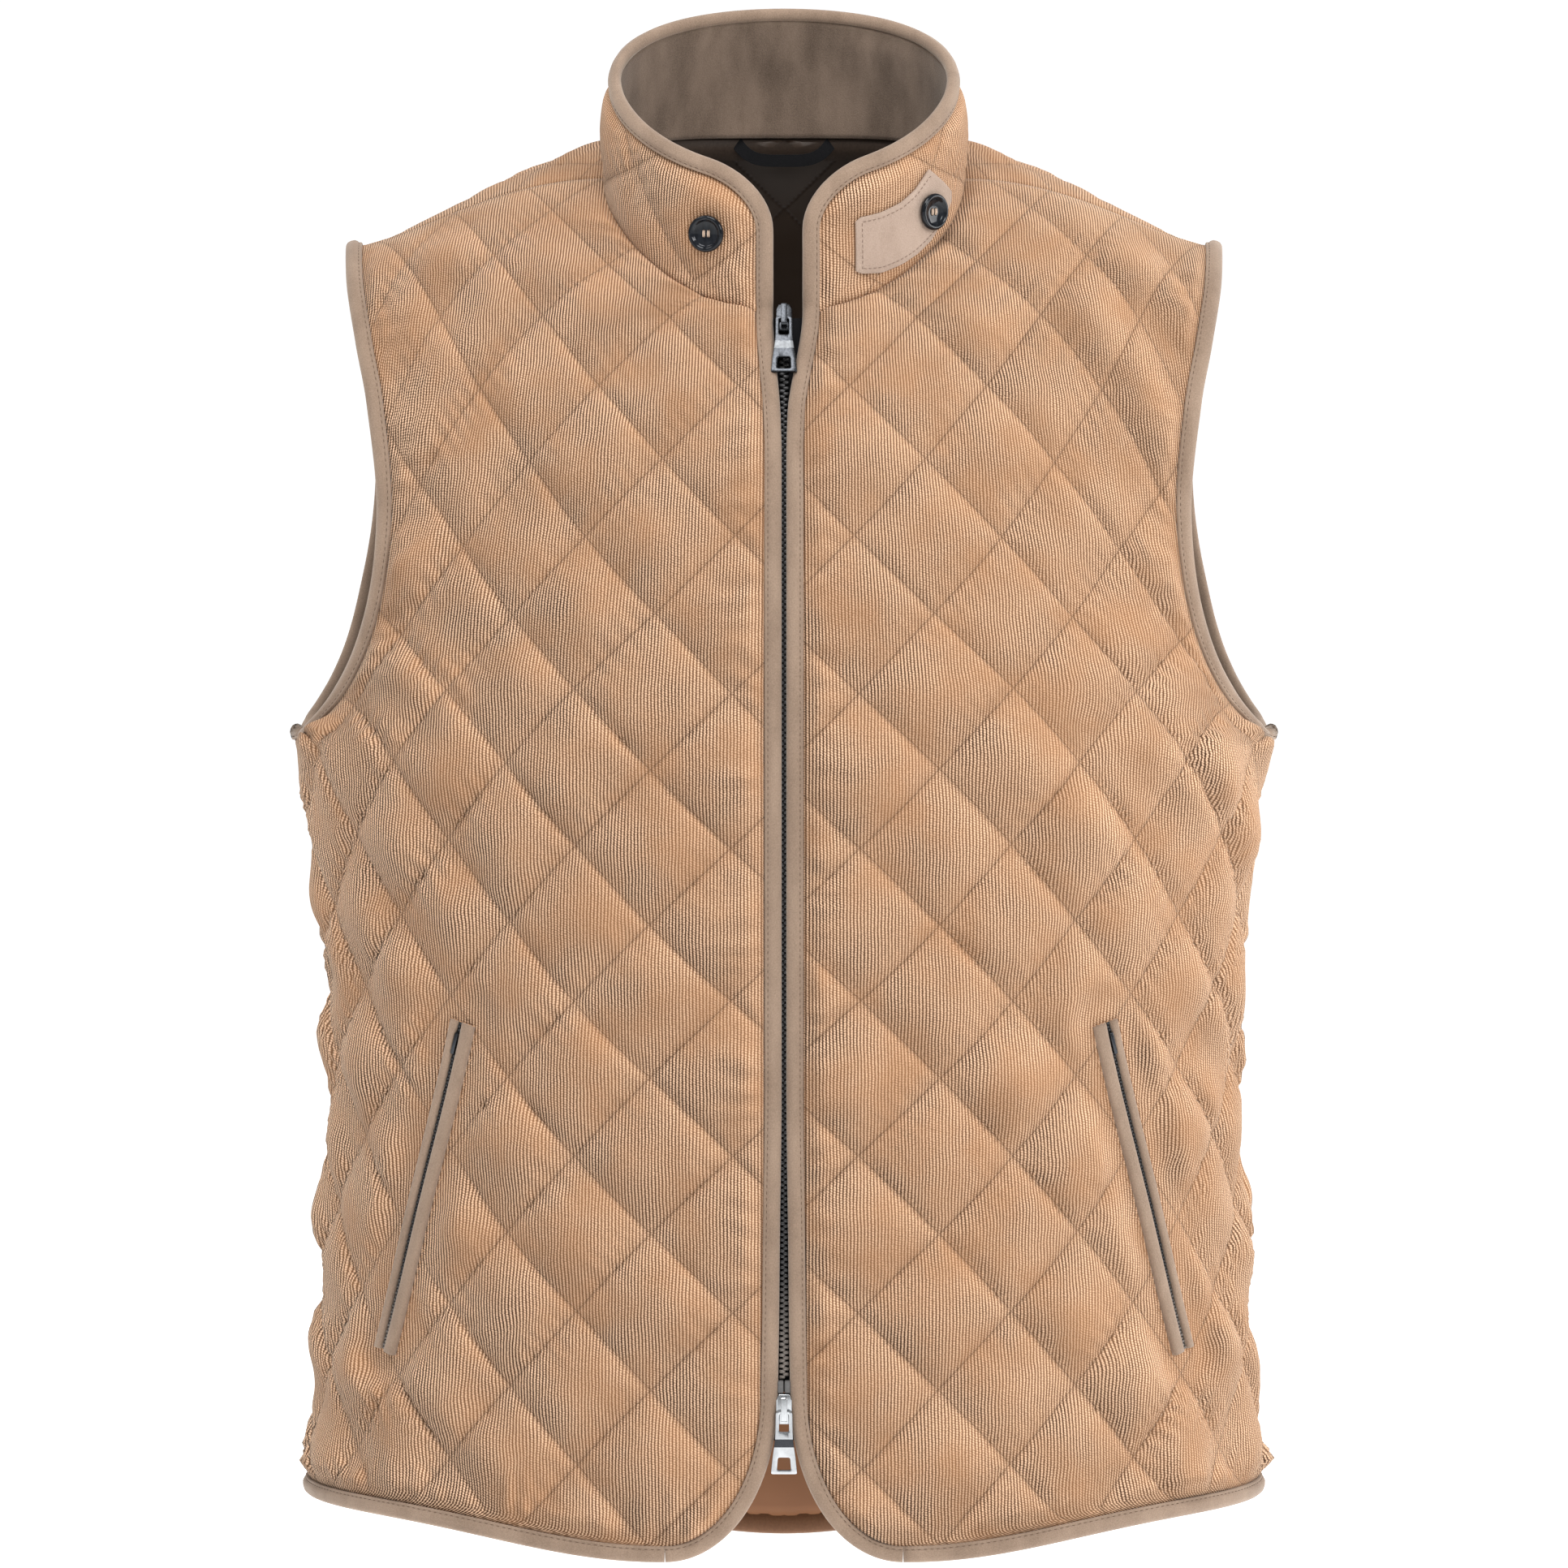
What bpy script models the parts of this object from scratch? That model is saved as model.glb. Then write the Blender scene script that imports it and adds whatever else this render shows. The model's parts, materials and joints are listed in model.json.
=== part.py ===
"""A quilted corduroy gilet, filled out as it is when worn, in metres with +Z up and the front facing -Y.

The origin is in the middle of the neck, level with the top of the shoulders. One shell surface runs from the
front hem over the shoulder to the back hem, and every panel, binding, welt and lining is cut from it.
"Left" and "right" are the wearer's: the wearer's left is on +X.
"""

import math
from collections import namedtuple

import bmesh
import bpy
import numpy as np
from mathutils import Matrix, Vector

# Cloth: thickness of each layer, and the gap that separate pieces keep
SEAM_GAP = 0.0003
OUTER_CLOTH = 0.0025
LINING_CLOTH = 0.0010
LINING_TOP = -(OUTER_CLOTH + SEAM_GAP)
LINING_FOOT = LINING_TOP - LINING_CLOTH
HALF_GAP_ACROSS = 0.0006
HALF_GAP_ALONG = 0.004

# Suede binding, folded over every free edge
BINDING_WIDTH = 0.008
BINDING_SEAM = 0.0009
BINDING_PROUD = 0.0008
BINDING_TOP = BINDING_PROUD
BINDING_FOOT = LINING_FOOT - BINDING_PROUD

# Front edges: how far the cloth stops from the middle, the rounded hem corner and where the sliders part them
FRONT_EDGE = 0.010
CORNER_WIDTH = 0.048
CORNER_TOP_Z = -0.596
CORNER_HEIGHT = 0.075
TOP_PARTING = {1: 0.0070, -1: 0.0032}
TOP_PARTING_REACH = 1.6
FOOT_PARTING = 0.0026
FOOT_PARTING_STATION = 0.9
FOOT_PARTING_REACH = 0.5

# The shell: one row for each section, from the front hem (0) over the shoulder (12) to the back hem (24).
# A section starts at the centre (front edge or middle of the back), and ends at the side (seam or armhole).
# Sections 9 to 15 start on the neck seam, at NECK_ANGLES. "turn" is how far round the body a section goes,
# in degrees.
Section = namedtuple("Section", "station centre_y centre_z side_x side_y side_z turn")
SECTIONS = (
    Section(0, -0.117, -0.671, 0.2365, 0.002, -0.654, 90),
    Section(1, -0.119, -0.596, 0.2290, 0.002, -0.590, 90),
    Section(2, -0.121, -0.510, 0.2245, 0.002, -0.510, 90),
    Section(3, -0.122, -0.430, 0.2225, 0.002, -0.430, 90),
    Section(4, -0.127, -0.348, 0.2285, 0.002, -0.350, 90),
    Section(5, -0.130, -0.275, 0.2420, 0.002, -0.288, 90),
    Section(5.5, -0.1285, -0.247, 0.2335, -0.022, -0.2815, 81),
    Section(6, -0.126, -0.218, 0.2180, -0.041, -0.264, 70),
    Section(7, -0.117, -0.166, 0.1990, -0.061, -0.222, 55),
    Section(8, -0.101, -0.120, 0.1915, -0.068, -0.170, 45),
    Section(9, -0.0695, -0.0713, 0.1950, -0.063, -0.120, 38),
    Section(10, None, None, 0.2010, -0.050, -0.088, 32),
    Section(11, None, None, 0.2060, -0.027, -0.061, 28),
    Section(12, None, None, 0.2075, 0.008, -0.044, 24),
    Section(13, None, None, 0.2060, 0.034, -0.057, 28),
    Section(14, None, None, 0.2030, 0.056, -0.083, 32),
    Section(15, 0.062, 0.006, 0.1980, 0.071, -0.116, 38),
    Section(16, 0.094, -0.048, 0.1960, 0.077, -0.165, 45),
    Section(17, 0.110, -0.108, 0.2030, 0.068, -0.213, 55),
    Section(18, 0.115, -0.175, 0.2190, 0.045, -0.261, 70),
    Section(18.5, 0.1145, -0.224, 0.2335, 0.026, -0.2805, 81),
    Section(19, 0.112, -0.275, 0.2420, 0.002, -0.288, 90),
    Section(20, 0.103, -0.350, 0.2285, 0.002, -0.350, 90),
    Section(21, 0.097, -0.430, 0.2225, 0.002, -0.430, 90),
    Section(22, 0.100, -0.510, 0.2245, 0.002, -0.510, 90),
    Section(23, 0.105, -0.600, 0.2290, 0.002, -0.590, 90),
    Section(24, 0.109, -0.694, 0.2365, 0.002, -0.654, 90),
)
FRONT_HEM, UNDERARM_FRONT, FRONT_NECK, SHOULDER, BACK_NECK, UNDERARM_BACK, BACK_HEM = 0, 5, 9, 12, 15, 19, 24
FRONT_CENTRE_ROWS = [row for row in SECTIONS if row.station <= FRONT_NECK]
BACK_CENTRE_ROWS = [row for row in SECTIONS if row.station >= BACK_NECK]
FRONT_SEAM_ROWS = [row for row in SECTIONS if row.station <= UNDERARM_FRONT]
ARMHOLE_ROWS = [row for row in SECTIONS if UNDERARM_FRONT <= row.station <= UNDERARM_BACK]
BACK_SEAM_ROWS = [row for row in SECTIONS if row.station >= UNDERARM_BACK]
NECK_STATIONS = (9, 10, 11, 12, 13, 14, 15)
NECK_ANGLES = (0, 35, 62, 92, 125, 155, 180)
HEM_MARGIN = 0.25
HEM_DROOP = 7.0
BODY_DROOP = 1.5
DROOP_REACH = 4

# Neck seam and the top edge of the collar: angle 0 is the front, 90 the wearer's left, 180 the back
NECK_HALF_WIDTH = 0.088
NECK_HALF_DEPTH = 0.066
NECK_CENTRE_Y = -0.004
NECK_SIDE_Z = -0.012
NECK_TILT = 0.039
NECK_DIP = 0.021
COLLAR_TOP_HALF_WIDTH = 0.084
COLLAR_TOP_HALF_DEPTH = 0.061
COLLAR_TOP_CENTRE_Y = -0.007
COLLAR_TOP_Z = (0.0389, -0.0365, -0.0050, 0.0003)
COLLAR_BULGE = 0.002
COLLAR_HEIGHT = 0.065
COLLAR_CORNER = 0.022

# How finely the cloth is cut into facets, and how near two vertices are when they are one
MERGE_DISTANCE = 1e-6
FRONT_COLUMNS = 9
BACK_COLUMNS = 8
COLLAR_COLUMNS = 24
COLLAR_ROWS = 3
CORNER_STEPS = 4

# Zip: the tapes lie behind the bindings, the chain between them
TAPE_INNER = 0.0026
TAPE_OUTER = 0.014
TAPE_TOP = BINDING_FOOT - SEAM_GAP
TAPE_THICKNESS = 0.0008
CHAIN_HALF_WIDTH = 0.0023
CHAIN_TOP = -0.0036
CHAIN_FOOT = -0.0064
ZIP_TOP_Z = -0.073
ZIP_FOOT_Z = -0.619
TOP_SLIDER_Z = -0.0750
BOTTOM_SLIDER_Z = -0.6028
ZIP_BOX_Z = -0.5921
ZIP_BOX_SIZE = (0.0064, 0.0060, 0.0045)
ZIP_BOX_ROUNDING = 0.0006

# Slider and pull tab, in the slider's own frame: x across, y up, z out of the cloth
SLIDER_HALF_WIDTH = 0.0040
SLIDER_HALF_HEIGHT = 0.0074
SLIDER_BACK = TAPE_TOP + SEAM_GAP
SLIDER_FACE = 0.0006
SLIDER_ROUNDING = 0.0016
BRIDGE_HALF_WIDTH = 0.0017
BRIDGE_FOOT, BRIDGE_HEAD = -0.0058, 0.0064
BRIDGE_OUT = 0.0042
BRIDGE_WALL = 0.0014
BRIDGE_SUNK = 0.0010
BRIDGE_SLOPE = 0.0008
BRIDGE_EYE_OUT = 0.0031
PULL_AXIS_UP = -0.0012
PULL_AXIS_OUT = 0.0019
PULL_THICKNESS = 0.0016
# One row for each level down the pull: its drop below the axis, its half width and its window's half width
PullLevel = namedtuple("PullLevel", "drop half_width window")
PULL_LEVELS = (
    PullLevel(-0.0008, 0.0040, 0.0023),
    PullLevel(0.0008, 0.0041, 0.0023),
    PullLevel(0.0096, 0.0042, 0.0024),
    PullLevel(0.0224, 0.0056, 0.0030),
    PullLevel(0.0284, 0.0062, 0.0034),
    PullLevel(0.0304, 0.0064, 0.0034),
)
PULL_WINDOW_ROWS = (1, 3)

# Pockets: the slanted line from top to foot on the front, and what is sewn along it
POCKET_TOP = (0.157, -0.417)
POCKET_FOOT = (0.196, -0.582)
POCKET_STATIONS = 9
WELT_LIFT = 0.0008
WELT_THICKNESS = 0.0020
FRONT_WELT_WIDTH = 0.0080
SIDE_WELT_WIDTH = 0.0055
POCKET_GAP = 0.0030
POCKET_ZIP_THICKNESS = 0.0010
POCKET_SLIDER_SIZE = (0.0024, 0.0100, 0.0014)
POCKET_SLIDER_ROUNDING = 0.0004
POCKET_SLIDER_ALONG = 0.06

# Throat tab on the wearer's left collar: one row for each station, low and high as shares of its height
TabStation = namedtuple("TabStation", "angle low high")
TAB_STATIONS = (
    TabStation(23, 0.19, 0.55),
    TabStation(25, 0.16, 0.57),
    TabStation(32, 0.10, 0.55),
    TabStation(40, 0.07, 0.55),
    TabStation(46, 0.06, 0.58),
    TabStation(53, 0.07, 0.66),
    TabStation(60, 0.14, 0.46),
    TabStation(65, 0.21, 0.30),
)
TAB_ROWS = 3
TAB_LIFT = 0.0004
TAB_THICKNESS = 0.0014

# Buttons: a turned profile of radius and height, and where they sit on the collar
BUTTON_PROFILE = ((0, 0), (0.0084, 0), (0.0090, 0.0007), (0.0090, 0.0023), (0.0083, 0.0030),
                  (0.0068, 0.0029), (0.0060, 0.0020), (0, 0.0020))
BUTTON_STEPS = 18
BUTTON_LIFT = 0.0004
COLLAR_BUTTON = (335, 0.45)
TAB_BUTTON = (53, 0.31)

# Hanger loop, inside the back neck
LOOP_HALF_SPAN = 0.026
LOOP_TOP = (0.0535, 0.0078)
LOOP_SAG = 0.0145
LOOP_BOW = 0.0020
LOOP_BAND = 0.0060
LOOP_THICKNESS = 0.0012
LOOP_STEPS = 12

# Colour, roughness and metallic value of each finish
FINISHES = {
    "corduroy": ((0.52, 0.32, 0.19), 0.95, 0.0),
    "suede": ((0.44, 0.31, 0.22), 0.95, 0.0),
    "lining": ((0.16, 0.09, 0.055), 0.55, 0.0),
    "black_tape": ((0.015, 0.015, 0.017), 0.8, 0.0),
    "black_teeth": ((0.012, 0.012, 0.014), 0.4, 0.0),
    "gunmetal": ((0.16, 0.16, 0.16), 0.35, 1.0),
    "horn": ((0.015, 0.017, 0.021), 0.25, 0.0),
}


def clear_scene():
    for thing in list(bpy.data.objects):
        bpy.data.objects.remove(thing, do_unlink=True)


def finish(name):
    """The material of that name, made the first time it is asked for."""
    material = bpy.data.materials.get(name)
    if material is None:
        colour, roughness, metallic = FINISHES[name]
        material = bpy.data.materials.new(name)
        material.use_nodes = True
        shader = material.node_tree.nodes["Principled BSDF"]
        shader.inputs["Base Color"].default_value = (*colour, 1.0)
        shader.inputs["Roughness"].default_value = roughness
        shader.inputs["Metallic"].default_value = metallic
    return material


def add_object(name, bm, material, matrix=None):
    """An object of that name from a closed bmesh, with its faces pointing out."""
    bmesh.ops.recalc_face_normals(bm, faces=bm.faces[:])
    mesh = bpy.data.meshes.new(name)
    bm.to_mesh(mesh)
    bm.free()
    mesh.materials.append(finish(material))
    piece = bpy.data.objects.new(name, mesh)
    if matrix is not None:
        piece.matrix_world = matrix
    bpy.context.scene.collection.objects.link(piece)
    return piece


def curve(rows, column, station):
    """A table's column at a station, on a smooth curve through its rows."""
    knots = [row.station for row in rows]
    values = [getattr(row, column) for row in rows]
    slopes = np.gradient(values, knots)
    i = int(np.clip(np.searchsorted(knots, station) - 1, 0, len(knots) - 2))
    step = knots[i + 1] - knots[i]
    t = (station - knots[i]) / step
    rise = values[i + 1] - values[i]
    a = slopes[i] * step - rise
    b = rise - slopes[i + 1] * step
    return (1 - t) * values[i] + t * values[i + 1] + t * (1 - t) * ((1 - t) * a + t * b)


def ease(value, low, high):
    """0 up to low, 1 from high, and a smooth step between."""
    t = min(max((value - low) / (high - low), 0.0), 1.0)
    return t * t * (3 - 2 * t)


# The shell surface

def neck_seam(angle):
    c = math.cos(angle)
    return Vector((NECK_HALF_WIDTH * math.sin(angle),
                   NECK_CENTRE_Y - NECK_HALF_DEPTH * c,
                   NECK_SIDE_Z - NECK_TILT * c - NECK_DIP * c * c))


def front_edge_x(station, side):
    """How far the cloth of a front stops from the middle."""
    corner = CORNER_WIDTH * (1 - math.cos(math.radians(90) * (1 - min(station, 1))))
    parting = TOP_PARTING[side] * ease(station, FRONT_NECK - TOP_PARTING_REACH, FRONT_NECK)
    spread = (station - FOOT_PARTING_STATION) / FOOT_PARTING_REACH
    return FRONT_EDGE + corner + parting + FOOT_PARTING * math.exp(-spread ** 2)


def front_centre_yz(station):
    """Depth and height of the centre front at a station, with the rounded hem corner below station 1."""
    depth = curve(FRONT_CENTRE_ROWS, "centre_y", station)
    if station >= 1:
        return depth, curve(FRONT_CENTRE_ROWS, "centre_z", station)
    return depth, CORNER_TOP_Z - CORNER_HEIGHT * math.sin(math.radians(90) * (1 - station))


def centre_edge(station, side):
    """Where a section starts, on the +X side: the front edge, the neck seam or the middle of the back."""
    first_angle = math.asin(front_edge_x(FRONT_NECK, side) / NECK_HALF_WIDTH)
    if station <= FRONT_NECK:
        y, z = front_centre_yz(station)
        drawn_in = neck_seam(first_angle) - Vector((0, *front_centre_yz(FRONT_NECK)))
        share = ease(station, FRONT_NECK - 1, FRONT_NECK)
        return Vector((front_edge_x(station, side), y + drawn_in.y * share, z + drawn_in.z * share))
    if station <= BACK_NECK:
        angles = (math.degrees(first_angle),) + NECK_ANGLES[1:]
        return neck_seam(math.radians(np.interp(station, NECK_STATIONS, angles)))
    depth = curve(BACK_CENTRE_ROWS, "centre_y", station)
    return Vector((0, depth, curve(BACK_CENTRE_ROWS, "centre_z", station)))


def side_edge(station):
    """Where a section ends, on the +X side: the side seam or the armhole."""
    if station <= UNDERARM_FRONT:
        rows = FRONT_SEAM_ROWS
    elif station <= UNDERARM_BACK:
        rows = ARMHOLE_ROWS
    else:
        rows = BACK_SEAM_ROWS
    return Vector([curve(rows, column, station) for column in ("side_x", "side_y", "side_z")])


def shell(across, station, side):
    """A point of the shell: across runs from 0 at the centre to 1 at the side."""
    centre = centre_edge(station, side)
    edge = side_edge(station)
    turn = math.radians(curve(SECTIONS, "turn", station))
    angle = across * turn
    outward = math.sin(angle) / math.sin(turn)
    forward = (math.cos(angle) - math.cos(turn)) / (1 - math.cos(turn))
    from_hem = min(station - FRONT_HEM, BACK_HEM - station)
    droop = HEM_DROOP + (BODY_DROOP - HEM_DROOP) * ease(from_hem, 0, DROOP_REACH)
    return Vector((side * (centre.x + (edge.x - centre.x) * outward),
                   edge.y + (centre.y - edge.y) * forward,
                   edge.z + (centre.z - edge.z) * max(forward, 0.0) ** droop))


def shell_normal(across, station, side):
    """The outward direction of the shell at a point."""
    step = 0.001
    station = min(max(station, FRONT_HEM + HEM_MARGIN), BACK_HEM - HEM_MARGIN)
    along = shell(across, station + step, side) - shell(across, station - step, side)
    over = shell(across + step, station, side) - shell(across - step, station, side)
    return side * over.cross(along).normalized()


def shell_layer(across, station, side, top, foot):
    """The outer and inner point of a layer of cloth on the shell."""
    point = shell(across, station, side)
    normal = shell_normal(across, station, side)
    return point + normal * top, point + normal * foot


def front_place(x, z):
    """Across and station of the front's point that is x from the middle at height z."""
    stations = np.linspace(FRONT_HEM + 0.2, FRONT_NECK, 60)
    across = 0.5
    for _ in range(8):
        station = float(np.interp(z, [shell(across, s, 1).z for s in stations], stations))
        centre, edge = centre_edge(station, 1), side_edge(station)
        turn = math.radians(curve(SECTIONS, "turn", station))
        across = math.asin((x - centre.x) / (edge.x - centre.x) * math.sin(turn)) / turn
    return across, station


# Walls and strips of cloth

def add_grid(bm, columns, rows, place):
    """A grid of faces; place(column, row) gives each vertex its outer and its inner point."""
    inner = bm.verts.layers.float_vector.get("inner") or bm.verts.layers.float_vector.new("inner")
    made = bmesh.ops.create_grid(bm, x_segments=columns, y_segments=rows, size=0.5)
    for vert in made["verts"]:
        column = round((vert.co.x + 0.5) * columns)
        row = round((vert.co.y + 0.5) * rows)
        vert.co, vert[inner] = place(column, row)


def thicken(bm):
    """Makes a closed wall of a sheet whose vertices know their inner points."""
    inner = bm.verts.layers.float_vector["inner"]
    made = bmesh.ops.extrude_face_region(bm, geom=bm.faces[:], use_keep_orig=True)
    for part in made["geom"]:
        if isinstance(part, bmesh.types.BMVert):
            part.co = part[inner]


def sweep(name, sections, material):
    """A closed solid through a list of sections, each a ring of as many points."""
    bm = bmesh.new()
    rings = [[bm.verts.new(point) for point in section] for section in sections]
    for one, two in zip(rings, rings[1:]):
        for i in range(len(one)):
            bm.faces.new((one[i - 1], one[i], two[i], two[i - 1]))
    bm.faces.new(rings[0])
    bm.faces.new(rings[-1])
    return add_object(name, bm, material)


# A point on a free edge: the way out over the edge, and the way out of the cloth
EdgeFrame = namedtuple("EdgeFrame", "point outward normal")


def edge_frames(points, normals, insides):
    """Frames along a free edge; insides are points of the cloth a little way in from it."""
    frames = []
    for i, (point, normal, inside) in enumerate(zip(points, normals, insides)):
        along = points[min(i + 1, len(points) - 1)] - points[max(i - 1, 0)]
        outward = along.cross(normal).normalized()
        if outward.dot(inside - point) > 0:
            outward.negate()
        frames.append(EdgeFrame(point, outward, normal))
    return frames


def binding(name, frames):
    """A folded strip of suede along a free edge, with a rounded fold."""
    middle = (BINDING_TOP + BINDING_FOOT) / 2
    fold = BINDING_WIDTH - BINDING_PROUD
    outline = ((BINDING_SEAM, BINDING_TOP), (fold, BINDING_TOP), (BINDING_WIDTH, middle),
               (fold, BINDING_FOOT), (BINDING_SEAM, BINDING_FOOT))
    sections = [[f.point + f.outward * out + f.normal * up for out, up in outline] for f in frames]
    return sweep(name, sections, "suede")


# Panels and their linings

def front_stations():
    corner = [i / CORNER_STEPS for i in range(CORNER_STEPS)]
    body = list(range(1, UNDERARM_FRONT)) + list(np.arange(UNDERARM_FRONT, SHOULDER, 0.5))
    return corner + body + [SHOULDER - HALF_GAP_ALONG]


def back_stations():
    upper = [SHOULDER + HALF_GAP_ALONG] + list(np.arange(SHOULDER + 0.5, UNDERARM_BACK + 1, 0.5))
    return upper + list(range(UNDERARM_BACK + 1, BACK_HEM + 1))


def across_shares(columns):
    return np.linspace(HALF_GAP_ACROSS, 1 - HALF_GAP_ACROSS, columns + 1)


def make_front(name, side, top, foot, material):
    shares, stations = across_shares(FRONT_COLUMNS), front_stations()
    bm = bmesh.new()
    add_grid(bm, FRONT_COLUMNS, len(stations) - 1,
             lambda column, row: shell_layer(shares[column], stations[row], side, top, foot))
    thicken(bm)
    return add_object(name, bm, material)


def make_back(name, top, foot, material):
    """Two halves that share the middle of the back and part at the neck."""
    stations = back_stations()
    bm = bmesh.new()
    for side in (1, -1):
        shares = across_shares(BACK_COLUMNS)
        shares[0] = 0.0
        add_grid(bm, BACK_COLUMNS, len(stations) - 1,
                 lambda column, row: shell_layer(shares[column], stations[row], side, top, foot))
    bmesh.ops.remove_doubles(bm, verts=bm.verts[:], dist=MERGE_DISTANCE)
    thicken(bm)
    return add_object(name, bm, material)


def make_front_binding(name, side):
    stations = front_stations()
    stations = [s for s in stations if s < FRONT_NECK] + [FRONT_NECK - 0.012]
    stations[0] = 0.02
    points = [shell(0, s, side) for s in stations]
    normals = [shell_normal(0, s, side) for s in stations]
    insides = [shell(0.1, s + 0.2, side) for s in stations]
    return binding(name, edge_frames(points, normals, insides))


def make_armhole_binding(name, side):
    fronts = [s for s in front_stations() if UNDERARM_FRONT <= s]
    backs = [s for s in back_stations() if s <= UNDERARM_BACK]
    stations = fronts + backs
    points = [shell(1, s, side) for s in stations]
    normals = [shell_normal(1, s, side) for s in stations]
    insides = [shell(0.9, s, side) for s in stations]
    frames = edge_frames(points, normals, insides)
    for end, aside in ((0, -SEAM_GAP / 2), (-1, SEAM_GAP / 2)):
        normal = Vector((frames[end].normal.x, 0, frames[end].normal.z)).normalized()
        upward = Vector((-side * normal.z, 0, side * normal.x))
        frames[end] = EdgeFrame(points[end] + Vector((0, aside, 0)), upward, normal)
    return binding(name, frames)


def make_hem_binding(name):
    """From one front corner round the back to the other."""
    places = []
    for side in (1, -1):
        front = [(share, FRONT_HEM, side) for share in across_shares(FRONT_COLUMNS)]
        back = [(share, BACK_HEM, side) for share in across_shares(BACK_COLUMNS)[::-1]]
        half = front + back[:-1]
        places += half + [(0.0, BACK_HEM, side)] if side == 1 else half[::-1]
    points = [shell(*place) for place in places]
    normals = [shell_normal(*place) for place in places]
    insides = [point + Vector((0, 0, 0.01)) for point in points]
    return binding(name, edge_frames(points, normals, insides))


# Collar

def collar_top(angle):
    c = math.cos(angle)
    height = sum(factor * c ** power for power, factor in enumerate(COLLAR_TOP_Z))
    return Vector((COLLAR_TOP_HALF_WIDTH * math.sin(angle),
                   COLLAR_TOP_CENTRE_Y - COLLAR_TOP_HALF_DEPTH * c,
                   height))


def collar_point(angle, share):
    """A point of the collar's outer face: share runs from the neck seam to the top edge, binding included."""
    foot, head = neck_seam(angle), collar_top(angle)
    out = Vector((math.sin(angle), -math.cos(angle), 0))
    return foot.lerp(head, share) + out * COLLAR_BULGE * math.sin(math.pi * share)


def collar_normal(angle, share):
    step = 0.01
    round_it = collar_point(angle + step, share) - collar_point(angle - step, share)
    up_it = collar_point(angle, share + step) - collar_point(angle, share - step)
    return round_it.cross(up_it).normalized()


def collar_layer(angle, share, top, foot):
    point, normal = collar_point(angle, share), collar_normal(angle, share)
    return point + normal * top, point + normal * foot


def collar_ends():
    """The angles at which the collar's cloth starts and ends, in line with the front edges."""
    first = math.asin(front_edge_x(FRONT_NECK, 1) / NECK_HALF_WIDTH)
    last = 2 * math.pi - math.asin(front_edge_x(FRONT_NECK, -1) / NECK_HALF_WIDTH)
    return first, last


def collar_columns():
    """Angle and top share of each column of the collar's cloth, with its front corners rounded."""
    first, last = collar_ends()
    full = 1 - BINDING_WIDTH / COLLAR_HEIGHT
    reach = COLLAR_CORNER / NECK_HALF_DEPTH
    rounds = [math.radians(90) * i / CORNER_STEPS for i in range(CORNER_STEPS)]
    start = [(first + reach * (1 - math.cos(r)), full - (1 - math.sin(r)) * COLLAR_CORNER / COLLAR_HEIGHT)
             for r in rounds]
    end = [(last - (angle - first), share) for angle, share in reversed(start)]
    middle = [(angle, full) for angle in np.linspace(first + reach, last - reach, COLLAR_COLUMNS + 1)]
    return start + middle + end


def make_collar(name, top, foot, material):
    columns = collar_columns()
    low = 2 * SEAM_GAP / COLLAR_HEIGHT

    def place(column, row):
        angle, high = columns[column]
        return collar_layer(angle, low + (high - low) * row / COLLAR_ROWS, top, foot)

    bm = bmesh.new()
    add_grid(bm, len(columns) - 1, COLLAR_ROWS, place)
    thicken(bm)
    return add_object(name, bm, material)


def make_collar_binding(name):
    """Up one front edge, round the rounded corners and the top, and down the other."""
    columns = collar_columns()
    first, last = collar_ends()
    rise = [columns[0][1] * i / COLLAR_ROWS for i in range(COLLAR_ROWS)]
    rise[0] = 3 * SEAM_GAP / COLLAR_HEIGHT
    places = [(first, share) for share in rise] + columns + [(last, share) for share in reversed(rise)]
    points = [collar_point(*place) for place in places]
    normals = [collar_normal(*place) for place in places]
    centre = (first + last) / 2
    insides = [collar_point(angle + 0.05 * (centre - angle), share - 0.1) for angle, share in places]
    return binding(name, edge_frames(points, normals, insides))


def make_tab(name):
    def place(column, row):
        station = TAB_STATIONS[column]
        share = station.low + (station.high - station.low) * row / TAB_ROWS
        return collar_layer(math.radians(station.angle), share, TAB_LIFT + TAB_THICKNESS, TAB_LIFT)

    bm = bmesh.new()
    add_grid(bm, len(TAB_STATIONS) - 1, TAB_ROWS, place)
    thicken(bm)
    return add_object(name, bm, "suede")


def standing_frame(point, normal):
    """A frame with its z axis along the normal and its y axis as near to upright as that allows."""
    across = Vector((0, 0, 1)).cross(normal).normalized()
    up = normal.cross(across)
    frame = Matrix((across, up, normal)).transposed().to_4x4()
    frame.translation = point
    return frame


def make_button(name, angle_degrees, share, lift):
    """A turned button with a raised rim, lying on the collar."""
    angle = math.radians(angle_degrees)
    normal = collar_normal(angle, share)
    bm = bmesh.new()
    verts = [bm.verts.new((radius, 0, height)) for radius, height in BUTTON_PROFILE]
    edges = [bm.edges.new(pair) for pair in zip(verts, verts[1:])]
    bmesh.ops.spin(bm, geom=verts + edges, cent=(0, 0, 0), axis=(0, 0, 1), angle=2 * math.pi,
                   steps=BUTTON_STEPS, use_merge=True)
    bmesh.ops.remove_doubles(bm, verts=bm.verts[:], dist=MERGE_DISTANCE)
    return add_object(name, bm, "horn", standing_frame(collar_point(angle, share) + normal * lift, normal))


# Zip

def front_centre_station(z):
    stations = np.linspace(FRONT_HEM, FRONT_NECK, 200)
    return float(np.interp(z, [front_centre_yz(s)[1] for s in stations], stations))


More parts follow.
